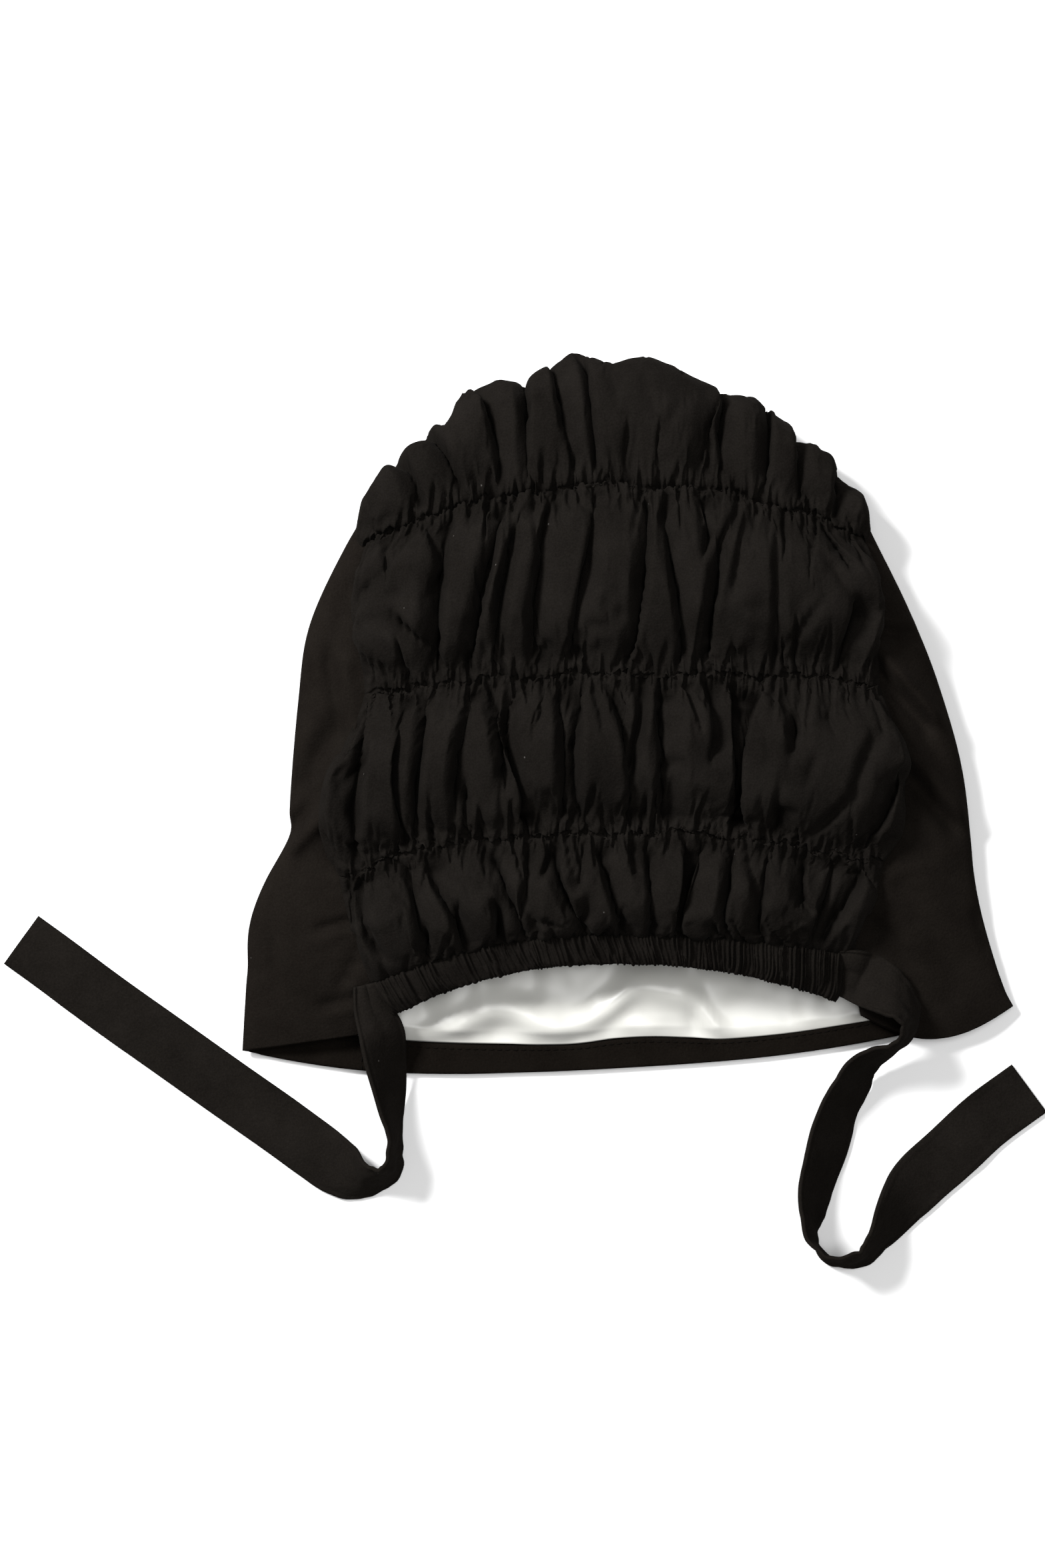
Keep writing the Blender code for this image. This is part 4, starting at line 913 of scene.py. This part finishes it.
def gathered_place(column, row):
    """Where the gathered cloth would lie before it settles."""
    level = BACK_LEVELS[row.astype(int)]
    u = column / BACK_COLUMNS
    below = base_point(u, np.minimum(level, 3.0))
    over, outward = crown_point(u, level)
    edge = rim_point(u)
    past_arch = through_table(CROWN_OUTLINE, "x", "y", edge[..., 0]) - edge[..., 1]
    away_from_middle = over - base_point(u, np.full_like(u, 3.0))
    away_from_middle[..., 2] = 0
    size = np.maximum(np.linalg.norm(away_from_middle, axis=-1), 1.0)
    rim_out = past_arch * away_from_middle[..., 1] / size - PUFFS_STAND_OUT
    rim_out = mix(-END_STANDS_OUT, rim_out, np.clip(np.minimum(u, 1 - u) * 20, 0, 1))
    rim_out = rim_out * np.sin(math.pi / 2 * np.clip(level - 3, 0, 1)) ** 2 * np.clip(5 - level, 0, 1)
    over = over + away_from_middle * (rim_out / size)[..., None]
    in_crown = (level >= 3)[..., None]
    point = np.where(in_crown, over, below)
    outward = np.where(in_crown, outward, np.array((0.0, 0.0, 1.0)))
    x, y = point[..., 0].copy(), point[..., 1].copy()
    stand, pull = gathers(x, level)
    swell, away, nearest, upper = row_swell(level)
    long = np.ones_like(x)
    for number in range(4):
        for is_upper in (False, True):
            here = (nearest == number) & (upper == is_upper)
            long[here] = cut_by_tucks(LONG_TUCKS[2 * number + is_upper], x[here], away[here])
    seam = np.minimum(u, 1 - u) * BACK_WIDTH
    side = np.minimum(1, seam / 4.5) ** 0.6
    puff = np.array(TIER_PUFF)[np.minimum(level.astype(int), 3)]
    puff = puff * (1 + PUFFS_VARY * waves(point, 21.0, 1))
    ridges = 0.5 - np.abs(waves(point * (1, 0.55, 1), 12.0, 8)) * 2
    slanted = waves(point[..., [1, 0, 2]] * (0.45, 1, 1) + point * (0.5, 0, 0), 9.0, 2)
    soft = ridges * SOFT_RIDGE + slanted * SOFT_SLANT - dents_at(x, y)
    pleated = stand * long
    height = side * (puff * swell * pleated + soft * swell * np.clip(pleated * 2, 0, 1))
    lift = side * ROW_LIFT * (0.5 + 0.5 * long) * np.exp(-((away / 4) ** 2)) * (nearest > 0)
    point = point + outward * (height + lift)[..., None]
    # over a row the cloth bulges between its tucks, so that the row looks scalloped
    bulge = SCALLOP * (pleated - 0.25) * np.minimum(1, away / 1.2) * np.exp(-((away / 4.5) ** 2))
    wobble = ROW_WANDER * waves(points_of(x, nearest * 50, 0), 11.0, 14)
    wobble += ROW_RIPPLE * waves(points_of(x, nearest * 50, 9), 3.4, 15)
    wobble = wobble * np.exp(-((away / ROW_WANDER_REACH) ** 2)) * (nearest > 0)
    point[..., 1] += (np.where(upper, bulge, -bulge) + wobble) * side
    point[..., 0] += pull * swell * side
    # both side seams lap over the plain panel, and the lower edge tucks behind the casing
    lap = np.exp(-((seam / 1.2) ** 2))
    across = np.minimum(1, (seam + 1.5) / SIDE_BULGE_WIDTH)
    bulge = SIDE_BULGE * np.sin(math.pi * across) ** 0.8 * swell
    bulge = bulge * np.clip(1 - 4 * (level - 3), 0, 1)
    point[..., 0] += np.where(u < 0.5, -1, 1) * (lap * SEAM_LAP + bulge)
    point[..., 2] += lap * SEAM_LAP_HEIGHT
    lap_down = CROWN_LAP * np.exp(-((seam / 5) ** 2)) * np.clip((level - 3) * 4, 0, 1)
    tuck_in = np.clip(1 - level / 0.03, 0, 1)
    point[..., 1] -= lap_down + tuck_in * FOOT_TUCKED_BACK
    point[..., 2] -= tuck_in * FOOT_TUCKED_DOWN
    point[..., 2] = np.maximum(point[..., 2], LEAST_BACK_HEIGHT)
    return point


# The cloth is a little larger than the place it is drawn into, so that it buckles as it
# settles. It is enlarged for the simulation, whose springs suit pieces about a metre wide.
DRAPE_STEP = 2
DRAPE_SCALE = 6.0
DRAPE_FRAMES = 12
DRAPE_GROWTH = 0.08
DRAPE_PRESSURE = 1.0
DRAPE_BENDING = 0.15
MOST_MOVE = 3.5
# The corners at the casing are sewn into it with the ties, and hold their shape
HELD_CORNER = 0.09
DRAPE_COLUMNS = BACK_COLUMNS // DRAPE_STEP
DRAPE_ROWS = BACK_ROWS // DRAPE_STEP


def points_of_piece(piece):
    flat = np.empty(len(piece.data.vertices) * 3)
    piece.data.vertices.foreach_get("co", flat)
    return flat.reshape(-1, 3)


def settled(piece, held):
    """The piece's points after it has settled, held at the given vertices."""
    drawn = points_of_piece(piece)
    piece.data.vertices.foreach_set("co", (drawn * DRAPE_SCALE).ravel())
    piece.vertex_groups.new(name="held").add([int(i) for i in np.flatnonzero(held)], 1.0, "REPLACE")
    drape = piece.modifiers.new("drape", "CLOTH")
    drape.settings.quality = 4
    drape.settings.bending_stiffness = DRAPE_BENDING
    drape.settings.vertex_group_mass = "held"
    drape.settings.shrink_min = -DRAPE_GROWTH
    drape.settings.effector_weights.gravity = 0
    drape.settings.use_pressure = True
    drape.settings.uniform_pressure_force = DRAPE_PRESSURE
    drape.collision_settings.use_collision = False
    for number in range(1, DRAPE_FRAMES + 1):
        bpy.context.scene.frame_set(number)
    shape = piece.evaluated_get(bpy.context.evaluated_depsgraph_get())
    flat = np.empty(len(piece.data.vertices) * 3)
    shape.data.vertices.foreach_get("co", flat)
    bpy.context.scene.frame_set(1)
    move = flat.reshape(-1, 3) / DRAPE_SCALE - drawn
    size = np.linalg.norm(move, axis=1, keepdims=True)
    return drawn + move * np.minimum(1, MOST_MOVE * MM / np.maximum(size, 1e-9))


def twice_as_fine(points, axis):
    """Puts a point between each two along the axis, on a smooth curve through them."""
    points = np.moveaxis(points, axis, 0)
    ends = np.concatenate((points[:1], points, points[-1:]))
    between = (9 * (ends[1:-2] + ends[2:-1]) - ends[:-3] - ends[3:]) / 16
    fine = np.empty((2 * len(points) - 1, *points.shape[1:]))
    fine[::2] = points
    fine[1::2] = between
    return np.moveaxis(fine, 0, axis)


drawn_sheet = grid_piece(
    "drawn_sheet",
    DRAPE_COLUMNS,
    DRAPE_ROWS,
    lambda column, row: gathered_place(column * DRAPE_STEP, row * DRAPE_STEP),
)
number = np.arange(len(drawn_sheet.data.vertices))
its_column = number % (DRAPE_COLUMNS + 1)
its_level = BACK_LEVELS[number // (DRAPE_COLUMNS + 1) * DRAPE_STEP]
on_row = np.abs(its_level - np.minimum(np.round(its_level), 3)) < 0.012
on_seam = (its_column == 0) | (its_column == DRAPE_COLUMNS)
from_seam = np.minimum(its_column, DRAPE_COLUMNS - its_column) / DRAPE_COLUMNS
in_corner = (from_seam < HELD_CORNER) & (its_level < 0.5)
cloth_points = settled(drawn_sheet, on_row | on_seam | in_corner | (its_level > 4.3))
bpy.data.objects.remove(drawn_sheet)
cloth_points = cloth_points.reshape(DRAPE_ROWS + 1, DRAPE_COLUMNS + 1, 3) / MM - MIDDLE_MM
cloth_points = twice_as_fine(twice_as_fine(cloth_points, 0), 1)
soft_points = cloth_points
for axis in (0, 1) * 4:
    both_ways = np.roll(soft_points, 1, axis) + np.roll(soft_points, -1, axis)
    inner = (slice(1, -1), slice(None)) if axis == 0 else (slice(None), slice(1, -1))
    soft_points = soft_points.copy()
    soft_points[inner] = (soft_points[inner] + both_ways[inner] / 2) / 2
along_column = np.gradient(soft_points, axis=0)
along_row = np.gradient(soft_points, axis=1)
cloth_normals = np.cross(along_row, along_column)
cloth_normals /= np.maximum(np.linalg.norm(cloth_normals, axis=-1, keepdims=True), 1e-6)


def back_place(column, row):
    """The settled cloth with the fine tucks that run through each row."""
    column, row = column.astype(int), row.astype(int)
    point, normal = cloth_points[row, column], cloth_normals[row, column]
    _, away, nearest, _ = row_swell(BACK_LEVELS[row])
    fine = np.ones_like(away)
    for number in range(4):
        here = nearest == number
        fine[here] = cut_by_tucks(FINE_TUCKS[number], point[here][:, 0], away[here])
    seam = np.minimum(column, BACK_COLUMNS - column) / BACK_COLUMNS * BACK_WIDTH
    depth = FINE_TUCK_DEPTH * (1 - fine) * np.minimum(1, seam / 3) * (nearest > 0)
    crinkle = CRINKLE * waves(point * (1, 0.6, 1), 4.5, 17) * np.minimum(1, seam / 6)
    point = point + normal * (crinkle - depth)[..., None]
    point[..., 2] = np.maximum(point[..., 2], LEAST_BACK_HEIGHT)
    return point


def mean_over(points, reach, axis):
    """Each point's mean with its neighbours within reach, along one axis."""
    ends = [(reach, reach) if axis == number else (0, 0) for number in range(3)]
    total = np.cumsum(np.pad(points, ends, mode="edge"), axis=axis)
    total = np.moveaxis(total, axis, 0)
    span = 2 * reach
    before = np.concatenate((0 * total[:1], total[: -span - 1]))
    return np.moveaxis((total[span:] - before) / (span + 1), 0, axis)


# How far the cloth stands above its own mean height nearby, from 0 deep in a fold to 1
# This share drives the painted shade: the cloth's colour is darkened where it lies deep in a fold.
FOLD_DEEP = -5.5
FOLD_UNSHADED = -0.5
NEARBY_ROWS = 11
NEARBY_COLUMNS = 18
around = mean_over(mean_over(cloth_points, NEARBY_ROWS, 0), NEARBY_COLUMNS, 1)
fold_shade_height = ((cloth_points - around) * cloth_normals).sum(axis=-1)
fold_shade_height = np.clip((fold_shade_height - FOLD_DEEP) / (FOLD_UNSHADED - FOLD_DEEP), 0, 1)

# folded=True paints shade into this jersey's colour deep in its folds
shirred_jersey = brushed_jersey(
    "shirred black jersey", (0.0043, 0.0037, 0.0032), (0.0083, 0.0072, 0.0063), folded=True
)
back = grid_piece("shirred_back", BACK_COLUMNS, BACK_ROWS, back_place)
face_up(back, upward=True)
# the painted shade in the folds reads this height share
back.data.attributes.new("fold_shade_height", "FLOAT", "POINT").data.foreach_set("value", fold_shade_height.ravel())
back.data.materials.append(shirred_jersey)
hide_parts("back_panel")
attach(back, "root")


# Nape casing. A stitched tunnel of the same jersey with an elastic inside, which
# draws it up into close upright ribs.

CASING_FOOT_LEVEL = -0.9
CASING_TOP_LEVEL = 0.0
CASING_LEFT_U = (0.05, -0.004)
CASING_RIGHT_U = (0.948, 0.988)
CASING_THICKNESS = 3.0
CASING_COLUMNS = 640
CASING_RING = 26
RIB_PITCH = 1.6
THIN_RIB = 0.7
RIB_DEPTH = 3.9
RIB_DEPTH_VARIES = 1.4
RIB_SLANT = 1.6
CASING_LIFT = 0.9
CASING_WANDER = 0.5
# How far the gathers scallop its two edges
TOP_SCALLOP = 1.1
FOOT_SCALLOP = 0.9
# Its length with and without the room that slanting ribs need
RIBBED_LENGTH = 172
CASING_LENGTH = 170


def casing_ribs(pitch):
    """Where each rib of the casing starts, uneven like real gathers, and how high it is."""
    return np.cumsum(rng.uniform(0.35, 1.8, 300) * pitch), rng.uniform(0.15, 1.0, 300)


WIDE_RIBS = casing_ribs(RIB_PITCH)
THIN_RIBS = casing_ribs(RIB_PITCH * THIN_RIB)


def rib_height(ribs, reach):
    starts, heights = ribs
    i = np.clip(np.searchsorted(starts, reach), 1, len(starts) - 1)
    t = (reach - starts[i - 1]) / (starts[i] - starts[i - 1])
    return heights[i] * np.maximum(0, 1 - (2 * t - 1) ** 2) ** 1.2


def casing_place(column, row):
    turn = row / CASING_RING * 2 * math.pi
    across = (1 - np.cos(turn)) / 2
    run = column / CASING_COLUMNS
    along = run * CASING_LENGTH
    left = mix(CASING_LEFT_U[0], CASING_LEFT_U[1], across)
    right = mix(CASING_RIGHT_U[0], CASING_RIGHT_U[1], across)
    u = mix(left, right, run)
    wobble = CASING_WANDER * waves(points_of(along, 0, 0), 9.0, 9)
    slant = RIB_SLANT * waves(points_of(along, 40, 0), 26.0, 10) * (across - 0.5)
    reach = run * RIBBED_LENGTH + slant
    thin = np.clip(0.5 + 1.6 * waves(points_of(along, across * 14, 0), 7.0, 18), 0, 1)
    rib = mix(rib_height(WIDE_RIBS, reach), rib_height(THIN_RIBS, reach + 2 * across), thin)
    level = mix(CASING_FOOT_LEVEL, CASING_TOP_LEVEL, across)
    point = base_point(u, level)
    ends = np.clip(np.minimum(run, 1 - run) * 60, 0, 1) ** 0.5
    bulge = np.sin(turn)
    thick = CASING_THICKNESS / 2 * np.sign(bulge) * np.abs(bulge) ** 0.55
    depth = RIB_DEPTH + RIB_DEPTH_VARIES * waves(points_of(along, 80, 0), 3.1, 11)
    depth = depth * (0.75 + 0.5 * waves(points_of(along, across * 6, 0), 3.0, 16))
    thick = thick + depth * rib * np.clip(bulge * 3, 0, 1)
    point[..., 2] += CASING_LIFT + thick * ends
    point[..., 1] += wobble * (1 - across) + TOP_SCALLOP * (rib - 0.5) * np.clip(across * 4 - 3, 0, 1)
    point[..., 1] -= FOOT_SCALLOP * (rib - 0.4) * np.clip(1 - across * 4, 0, 1)
    return point


casing = grid_piece("elastic_casing", CASING_COLUMNS, CASING_RING, casing_place)
close_up(casing, 0.00001)
casing_jersey = brushed_jersey("casing black jersey", (0.0040, 0.0034, 0.0029), (0.0080, 0.0069, 0.0060))
casing.data.materials.append(casing_jersey)
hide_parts("nape_casing")
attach(casing, "root")


# Lining. White satin, cut like the bonnet and sewn to the front hem and to the nape
# casing, so its inside shows through the mouth.

SATIN = 0.6
LINING_SIDE_COLUMNS = 18
LINING_MIDDLE_COLUMNS = 90
LINING_COLUMNS = 2 * LINING_SIDE_COLUMNS + LINING_MIDDLE_COLUMNS
LINING_ROWS = 150
LINING_CROWN_ROWS = 24
LINING_FOOT_LEVEL = -0.62
LINING_TOP_LEVEL = 2.96
LINING_SAG = 2.2
LINING_CLEARANCE = 3.2
LINING_CLEARANCE_AT_FOLD = 1.8
LINING_SIDE_IN = 0.8
LINING_SEAM_GAP = 0.6
LINING_LEAST_HEIGHT = LEAST_HEIGHT - 1.9
LINING_RIM_IN = 13.0
LINING_CROWN_PULL = 0.8
# The satin's own folds, how they lift it, and the level from which it lies flat
SATIN_FOLDS = 3.6
SATIN_CREASES = 0.8
SATIN_LOFT = 1.6
SATIN_FLAT_LEVEL = 1.8
# The line on which the satin's long wave stands up inside the mouth
Crest = namedtuple("Crest", "x y height")
SATIN_CRESTS = (
    Crest(-100.0, -124.0, 1.0), Crest(-75.0, -120.8, 2.6), Crest(-47.5, -110.8, 3.6),
    Crest(-22.5, -117.0, 3.0), Crest(-10.0, -112.0, 3.2), Crest(5.0, -102.0, 3.8),
    Crest(15.0, -103.3, 3.6), Crest(25.0, -107.0, 3.2), Crest(37.5, -122.0, 2.4),
    Crest(60.0, -124.0, 1.0),
)
CREST_WIDTH_BEYOND = 6.5
CREST_WIDTH_NEAR = 5.0
NAPE_ROWS = round(LINING_ROWS * (0 - LINING_FOOT_LEVEL) / (LINING_TOP_LEVEL - LINING_FOOT_LEVEL))


def under_creases(point, share):
    """Keeps the lining below the creases of the side panels."""
    clearance = mix(LINING_CLEARANCE_AT_FOLD, LINING_CLEARANCE, np.clip(share * 3, 0, 1))
    sunk = point[..., 2] - side_crease_depth(point[..., 0], point[..., 1]) - clearance
    point[..., 2] = np.maximum(sunk, np.minimum(point[..., 2], LINING_LEAST_HEIGHT))
    return point


def lining_top(across, level, outer):
    middle_end = LINING_SIDE_COLUMNS + LINING_MIDDLE_COLUMNS
    u = np.clip((across - LINING_SIDE_COLUMNS) / LINING_MIDDLE_COLUMNS, 0, 1)
    point = base_point(u, level)
    point[..., 2] -= outer
    share = np.clip(across / LINING_SIDE_COLUMNS, 0, 1)
    left = side_point("left", share, level, outer + LINING_SIDE_IN, LINING_SEAM_GAP)
    left = under_creases(left, share)
    point = np.where((across <= LINING_SIDE_COLUMNS)[..., None], left, point)
    share = np.clip((LINING_COLUMNS - across) / LINING_SIDE_COLUMNS, 0, 1)
    right = side_point("right", share, level, outer + LINING_SIDE_IN, LINING_SEAM_GAP)
    right = under_creases(right, share)
    return np.where((across >= middle_end)[..., None], right, point)


def lining_place(column, row):
    outer = JERSEY + GAP
    over = column > LINING_COLUMNS
    across = np.where(over, 2 * LINING_COLUMNS - column, column)
    level = mix(LINING_FOOT_LEVEL, LINING_TOP_LEVEL, np.minimum(row / LINING_ROWS, 1))
    section = section_at(level)
    top = lining_top(across, level, outer)
    left = lining_top(np.zeros_like(across), level, outer)
    right = lining_top(np.full_like(across, LINING_COLUMNS), level, outer)
    pull = LINING_CROWN_PULL * np.maximum(0, level - 2) ** 2
    inside = np.clip(top[..., 0], section.seam_left_x, section.seam_right_x)
    x = mix(top[..., 0], inside, pull)
    left_x = mix(left[..., 0], section.seam_left_x, pull)
    right_x = mix(right[..., 0], section.seam_right_x, pull)
    share = (x - section.fold_left_x) / (section.fold_right_x - section.fold_left_x)
    reach = np.clip(np.minimum(x - left_x, right_x - x) / SIDE_TURN, 0, 1)
    rise = 1 - np.sqrt(1 - (1 - reach) ** 2)
    y = mix(section.fold_left_y, section.fold_right_y, share) - front_bow(share, level)
    low = points_of(x, y, mix(outer, left[..., 2], rise))
    folds = waves(low * (1, 0.45, 0), 21.0, 12) * SATIN_FOLDS
    folds = folds + waves(low * (1, 0.7, 0), 8.0, 13) * SATIN_CREASES
    foot_shift = through_table(HEM_WIDTHS, "x", "extra", x)
    foot_shift = foot_shift * np.clip(1 - (level - LINING_FOOT_LEVEL) / 0.6, 0, 1)
    low[..., 1] += foot_shift
    top[..., 1] += foot_shift
    edge = np.clip((level - LINING_FOOT_LEVEL) * 5, 0, 1)
    from_crest = low[..., 1] - through_table(SATIN_CRESTS, "x", "y", x)
    crest = through_table(SATIN_CRESTS, "x", "height", x)
    crest_width = np.where(from_crest > 0, CREST_WIDTH_BEYOND, CREST_WIDTH_NEAR)
    crest = crest * np.exp(-((from_crest / crest_width) ** 2))
    folds = np.maximum(0, SATIN_LOFT + folds) + crest
    low[..., 2] += folds * reach * edge * np.clip(SATIN_FLAT_LEVEL - level, 0, 1)
    top = points_of(x, top[..., 1], top[..., 2] - LINING_SAG * np.clip(level, 0, 1) * reach)
    point = np.where(over[..., None], top, low)
    crown = (np.maximum(0, row - LINING_ROWS) / LINING_CROWN_ROWS)[..., None]
    rim = rim_point(share)
    inward = base_point(share, np.full_like(share, 3.0)) - rim
    inward[..., 2] = 0
    rim = rim + inward / np.linalg.norm(inward, axis=-1, keepdims=True) * LINING_RIM_IN
    turn = crown * math.pi / 2
    is_over = over[..., None]
    height = mix(rim, point, np.where(is_over, np.cos(turn), 1 - crown**5))[..., 2]
    moved = mix(point, rim, np.where(is_over, np.sin(turn), crown))
    moved[..., 2] = height
    return np.where(crown > 0, moved, point)


def lining_keep(column, row):
    from_middle = abs(column - 1.5 * LINING_COLUMNS)
    return not (from_middle < LINING_MIDDLE_COLUMNS / 2 and row < NAPE_ROWS)


satin = bpy.data.materials.new("white satin")
satin.use_nodes = True
satin_shader = satin.node_tree.nodes["Principled BSDF"]
satin_shader.inputs["Base Color"].default_value = (0.475, 0.472, 0.443, 1)
satin_shader.inputs["Roughness"].default_value = 0.34
satin_shader.inputs["Sheen Weight"].default_value = 0.1

lining = grid_piece(
    "satin_lining", 2 * LINING_COLUMNS, LINING_ROWS + LINING_CROWN_ROWS, lining_place, lining_keep
)
close_up(lining, 0.00002)
lining.data.materials.append(satin)
give_wall(lining, SATIN)
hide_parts("lining")
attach(lining, "root")


# Ties. A flat strip of the jersey, folded double and sewn along one edge, pleated
# narrower where it is sewn in at each end of the casing.

TIE_CLOTH = 1.4
TIE_COLUMNS = 32
TIE_STATIONS = 260
TIE_WIDTH = 22.0
# How far it is folded where it is sewn in, cups, waves, and crumples where it turns
TIE_PLEAT = 0.7
TIE_PLEAT_REACH = 15
TIE_CUP = 0.7
TIE_WAVE = 0.9
TIE_CRUMPLE = 1.1
TIE_STITCH_DEPTH = 0.3
TIE_STITCH_ACROSS = 0.84
# A place on the tie's middle line. lift is what its lower edge clears, lean is 0 flat and
# 90 on edge, raising its right side.
TiePoint = namedtuple("TiePoint", "x y lift lean width", defaults=(TIE_WIDTH,))
LEFT_TIE = (
    TiePoint(-97.4, -100.4, 16.2, 4, 8.5),
    TiePoint(-95.4, -108.6, 14.4, 14, 12.5),
    TiePoint(-91.4, -118.0, 10.4, 34, 19.0),
    TiePoint(-90.2, -127.0, 6.4, 48, 21.5),
    TiePoint(-89.0, -136.0, 3.2, 58),
    TiePoint(-87.8, -147.0, 1.0, 68),
    TiePoint(-86.4, -157.0, 0.2, 79),
    TiePoint(-86.9, -165.0, 0.0, 78),
    TiePoint(-87.8, -169.6, 0.0, 70),
    TiePoint(-91.2, -172.6, 0.0, 64),
    TiePoint(-96.0, -173.8, 0.0, 56),
    TiePoint(-101.8, -173.0, 0.0, 40),
    TiePoint(-108.4, -169.4, 0.0, 18),
    TiePoint(-117.1, -163.1, 0.0, 4),
    TiePoint(-129.5, -154.1, 0.0, 0),
    TiePoint(-149.5, -140.1, 0.0, 0),
    TiePoint(-171.5, -124.5, 0.0, 0),
    TiePoint(-195.5, -107.5, 0.0, 0),
    TiePoint(-217.2, -91.4, 0.0, 0),
    TiePoint(-226.9, -84.4, 0.0, 0),
)
RIGHT_TIE = (
    TiePoint(76.8, -95.4, 9.6, -28, 18.0),
    TiePoint(84.2, -97.0, 13.6, -12, 19.5),
    TiePoint(90.0, -99.3, 14.8, 14, 20.5),
    TiePoint(96.2, -102.9, 15.8, 38, 21.2),
    TiePoint(101.6, -108.1, 14.2, 58),
    TiePoint(104.0, -114.4, 11.6, 68),
    TiePoint(102.8, -120.2, 8.6, 75),
    TiePoint(98.4, -124.4, 5.6, 74),
    TiePoint(92.0, -127.6, 3.6, 66),
    TiePoint(87.2, -131.6, 1.8, 56),
    TiePoint(84.4, -137.0, 0.8, 52),
    TiePoint(81.4, -143.0, 0.0, 48),
    TiePoint(76.0, -157.0, 0.0, 44),
    TiePoint(71.8, -171.6, 0.0, 48),
    TiePoint(69.2, -184.5, 0.0, 60),
    TiePoint(68.8, -193.6, 0.0, 76),
    TiePoint(71.2, -199.0, 0.0, 88),
    TiePoint(75.6, -202.4, 0.0, 100),
    TiePoint(81.6, -203.2, 0.0, 106),
    TiePoint(87.4, -202.2, 0.0, 110),
    TiePoint(93.8, -195.6, 0.0, 120),
    TiePoint(100.3, -186.0, 0.0, 142),
    TiePoint(107.7, -176.6, 0.0, 168),
    TiePoint(120.9, -164.6, 0.0, 180),
    TiePoint(133.9, -152.6, 0.0, 180),
    TiePoint(150.9, -140.0, 0.0, 180),
)
TieStep = namedtuple("TieStep", "reach x y lift lean width")


def turn_of(table, reach, length):
    """How sharply the tie turns near each place, 1 for a right angle in 16 mm."""
    headings = []
    for start in (-8, 7):
        near = [np.clip(reach + start + step, 0, length) for step in (0, 1)]
        x, y = ([through_table(table, "reach", name, at) for at in near] for name in "xy")
        headings.append(np.arctan2(y[1] - y[0], x[1] - x[0] + 1e-6))
    return np.sin(headings[1] - headings[0]) * (reach > 9) * (reach < length - 9)


def tie_place(points, seed):
    line = np.array([(point.x, point.y) for point in points])
    steps = np.linalg.norm(np.diff(line, axis=0), axis=1)
    reaches = np.concatenate(([0], np.cumsum(steps)))
    table = [TieStep(reach, *point) for reach, point in zip(reaches, points)]
    length = reaches[-1]

    def place(column, row):
        reach = length * row / TIE_STATIONS
        at = {name: through_table(table, "reach", name, reach) for name in TieStep._fields}
        ahead, behind = np.minimum(reach + 1, length), np.maximum(reach - 1, 0)
        start_x, end_x = (through_table(table, "reach", "x", end) for end in (behind, ahead))
        start_y, end_y = (through_table(table, "reach", "y", end) for end in (behind, ahead))
        forward_x, forward_y = end_x - start_x, end_y - start_y
        size = np.hypot(forward_x, forward_y)
        side = points_of(forward_y / size, -forward_x / size, 0)
        up = points_of(0, 0, np.ones_like(size))
        lean = np.radians(at["lean"])
        cos, sin = np.cos(lean)[..., None], np.sin(lean)[..., None]
        width, normal = side * cos + up * sin, up * cos - side * sin
        half = at["width"] / 2
        height = at["lift"] + half * np.abs(np.sin(lean)) + TIE_CLOTH / 2 * np.abs(np.cos(lean))
        across = column / TIE_COLUMNS * 2 - 1
        middle = points_of(at["x"], at["y"], height)
        # it is pleated where it is sewn in, cups a little, and its edges are stitched down
        fold = TIE_PLEAT * (np.abs(np.sin(across * 1.3 * math.pi + 0.4)) - 0.5)
        fold = fold * np.exp(-((reach / TIE_PLEAT_REACH) ** 2))
        fold += TIE_CUP * (1 - across**2) * waves(points_of(reach, 5, 0), 30.0, seed + 4)
        fold += TIE_WAVE * waves(points_of(reach, across * 9, 0), 15.0, seed)
        turned = np.abs(turn_of(table, reach, length))
        fold += TIE_CRUMPLE * turned * waves(points_of(reach, across * 7, 0), 3.6, seed + 7)
        fold -= TIE_STITCH_DEPTH * np.exp(-(((np.abs(across) - TIE_STITCH_ACROSS) / 0.05) ** 2))
        point = middle + width * (half * across)[..., None] + normal * fold[..., None]
        least = 0.1 + TIE_CLOTH / 2 * np.abs(np.cos(lean))
        point[..., 2] = np.maximum(point[..., 2], least)
        return point

    return place


tie_jersey = brushed_jersey("tie black jersey", (0.0048, 0.0041, 0.0035), (0.0090, 0.0077, 0.0066))
for name, points, solid, seed in (
    ("left_tie_strip", LEFT_TIE, "tie_left", 20),
    ("right_tie_strip", RIGHT_TIE, "tie_right", 21),
):
    tie = grid_piece(name, TIE_COLUMNS, TIE_STATIONS, tie_place(points, seed))
    tie.data.materials.append(tie_jersey)
    give_wall(tie, TIE_CLOTH, 0)
    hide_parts(solid)
    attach(tie, "root")
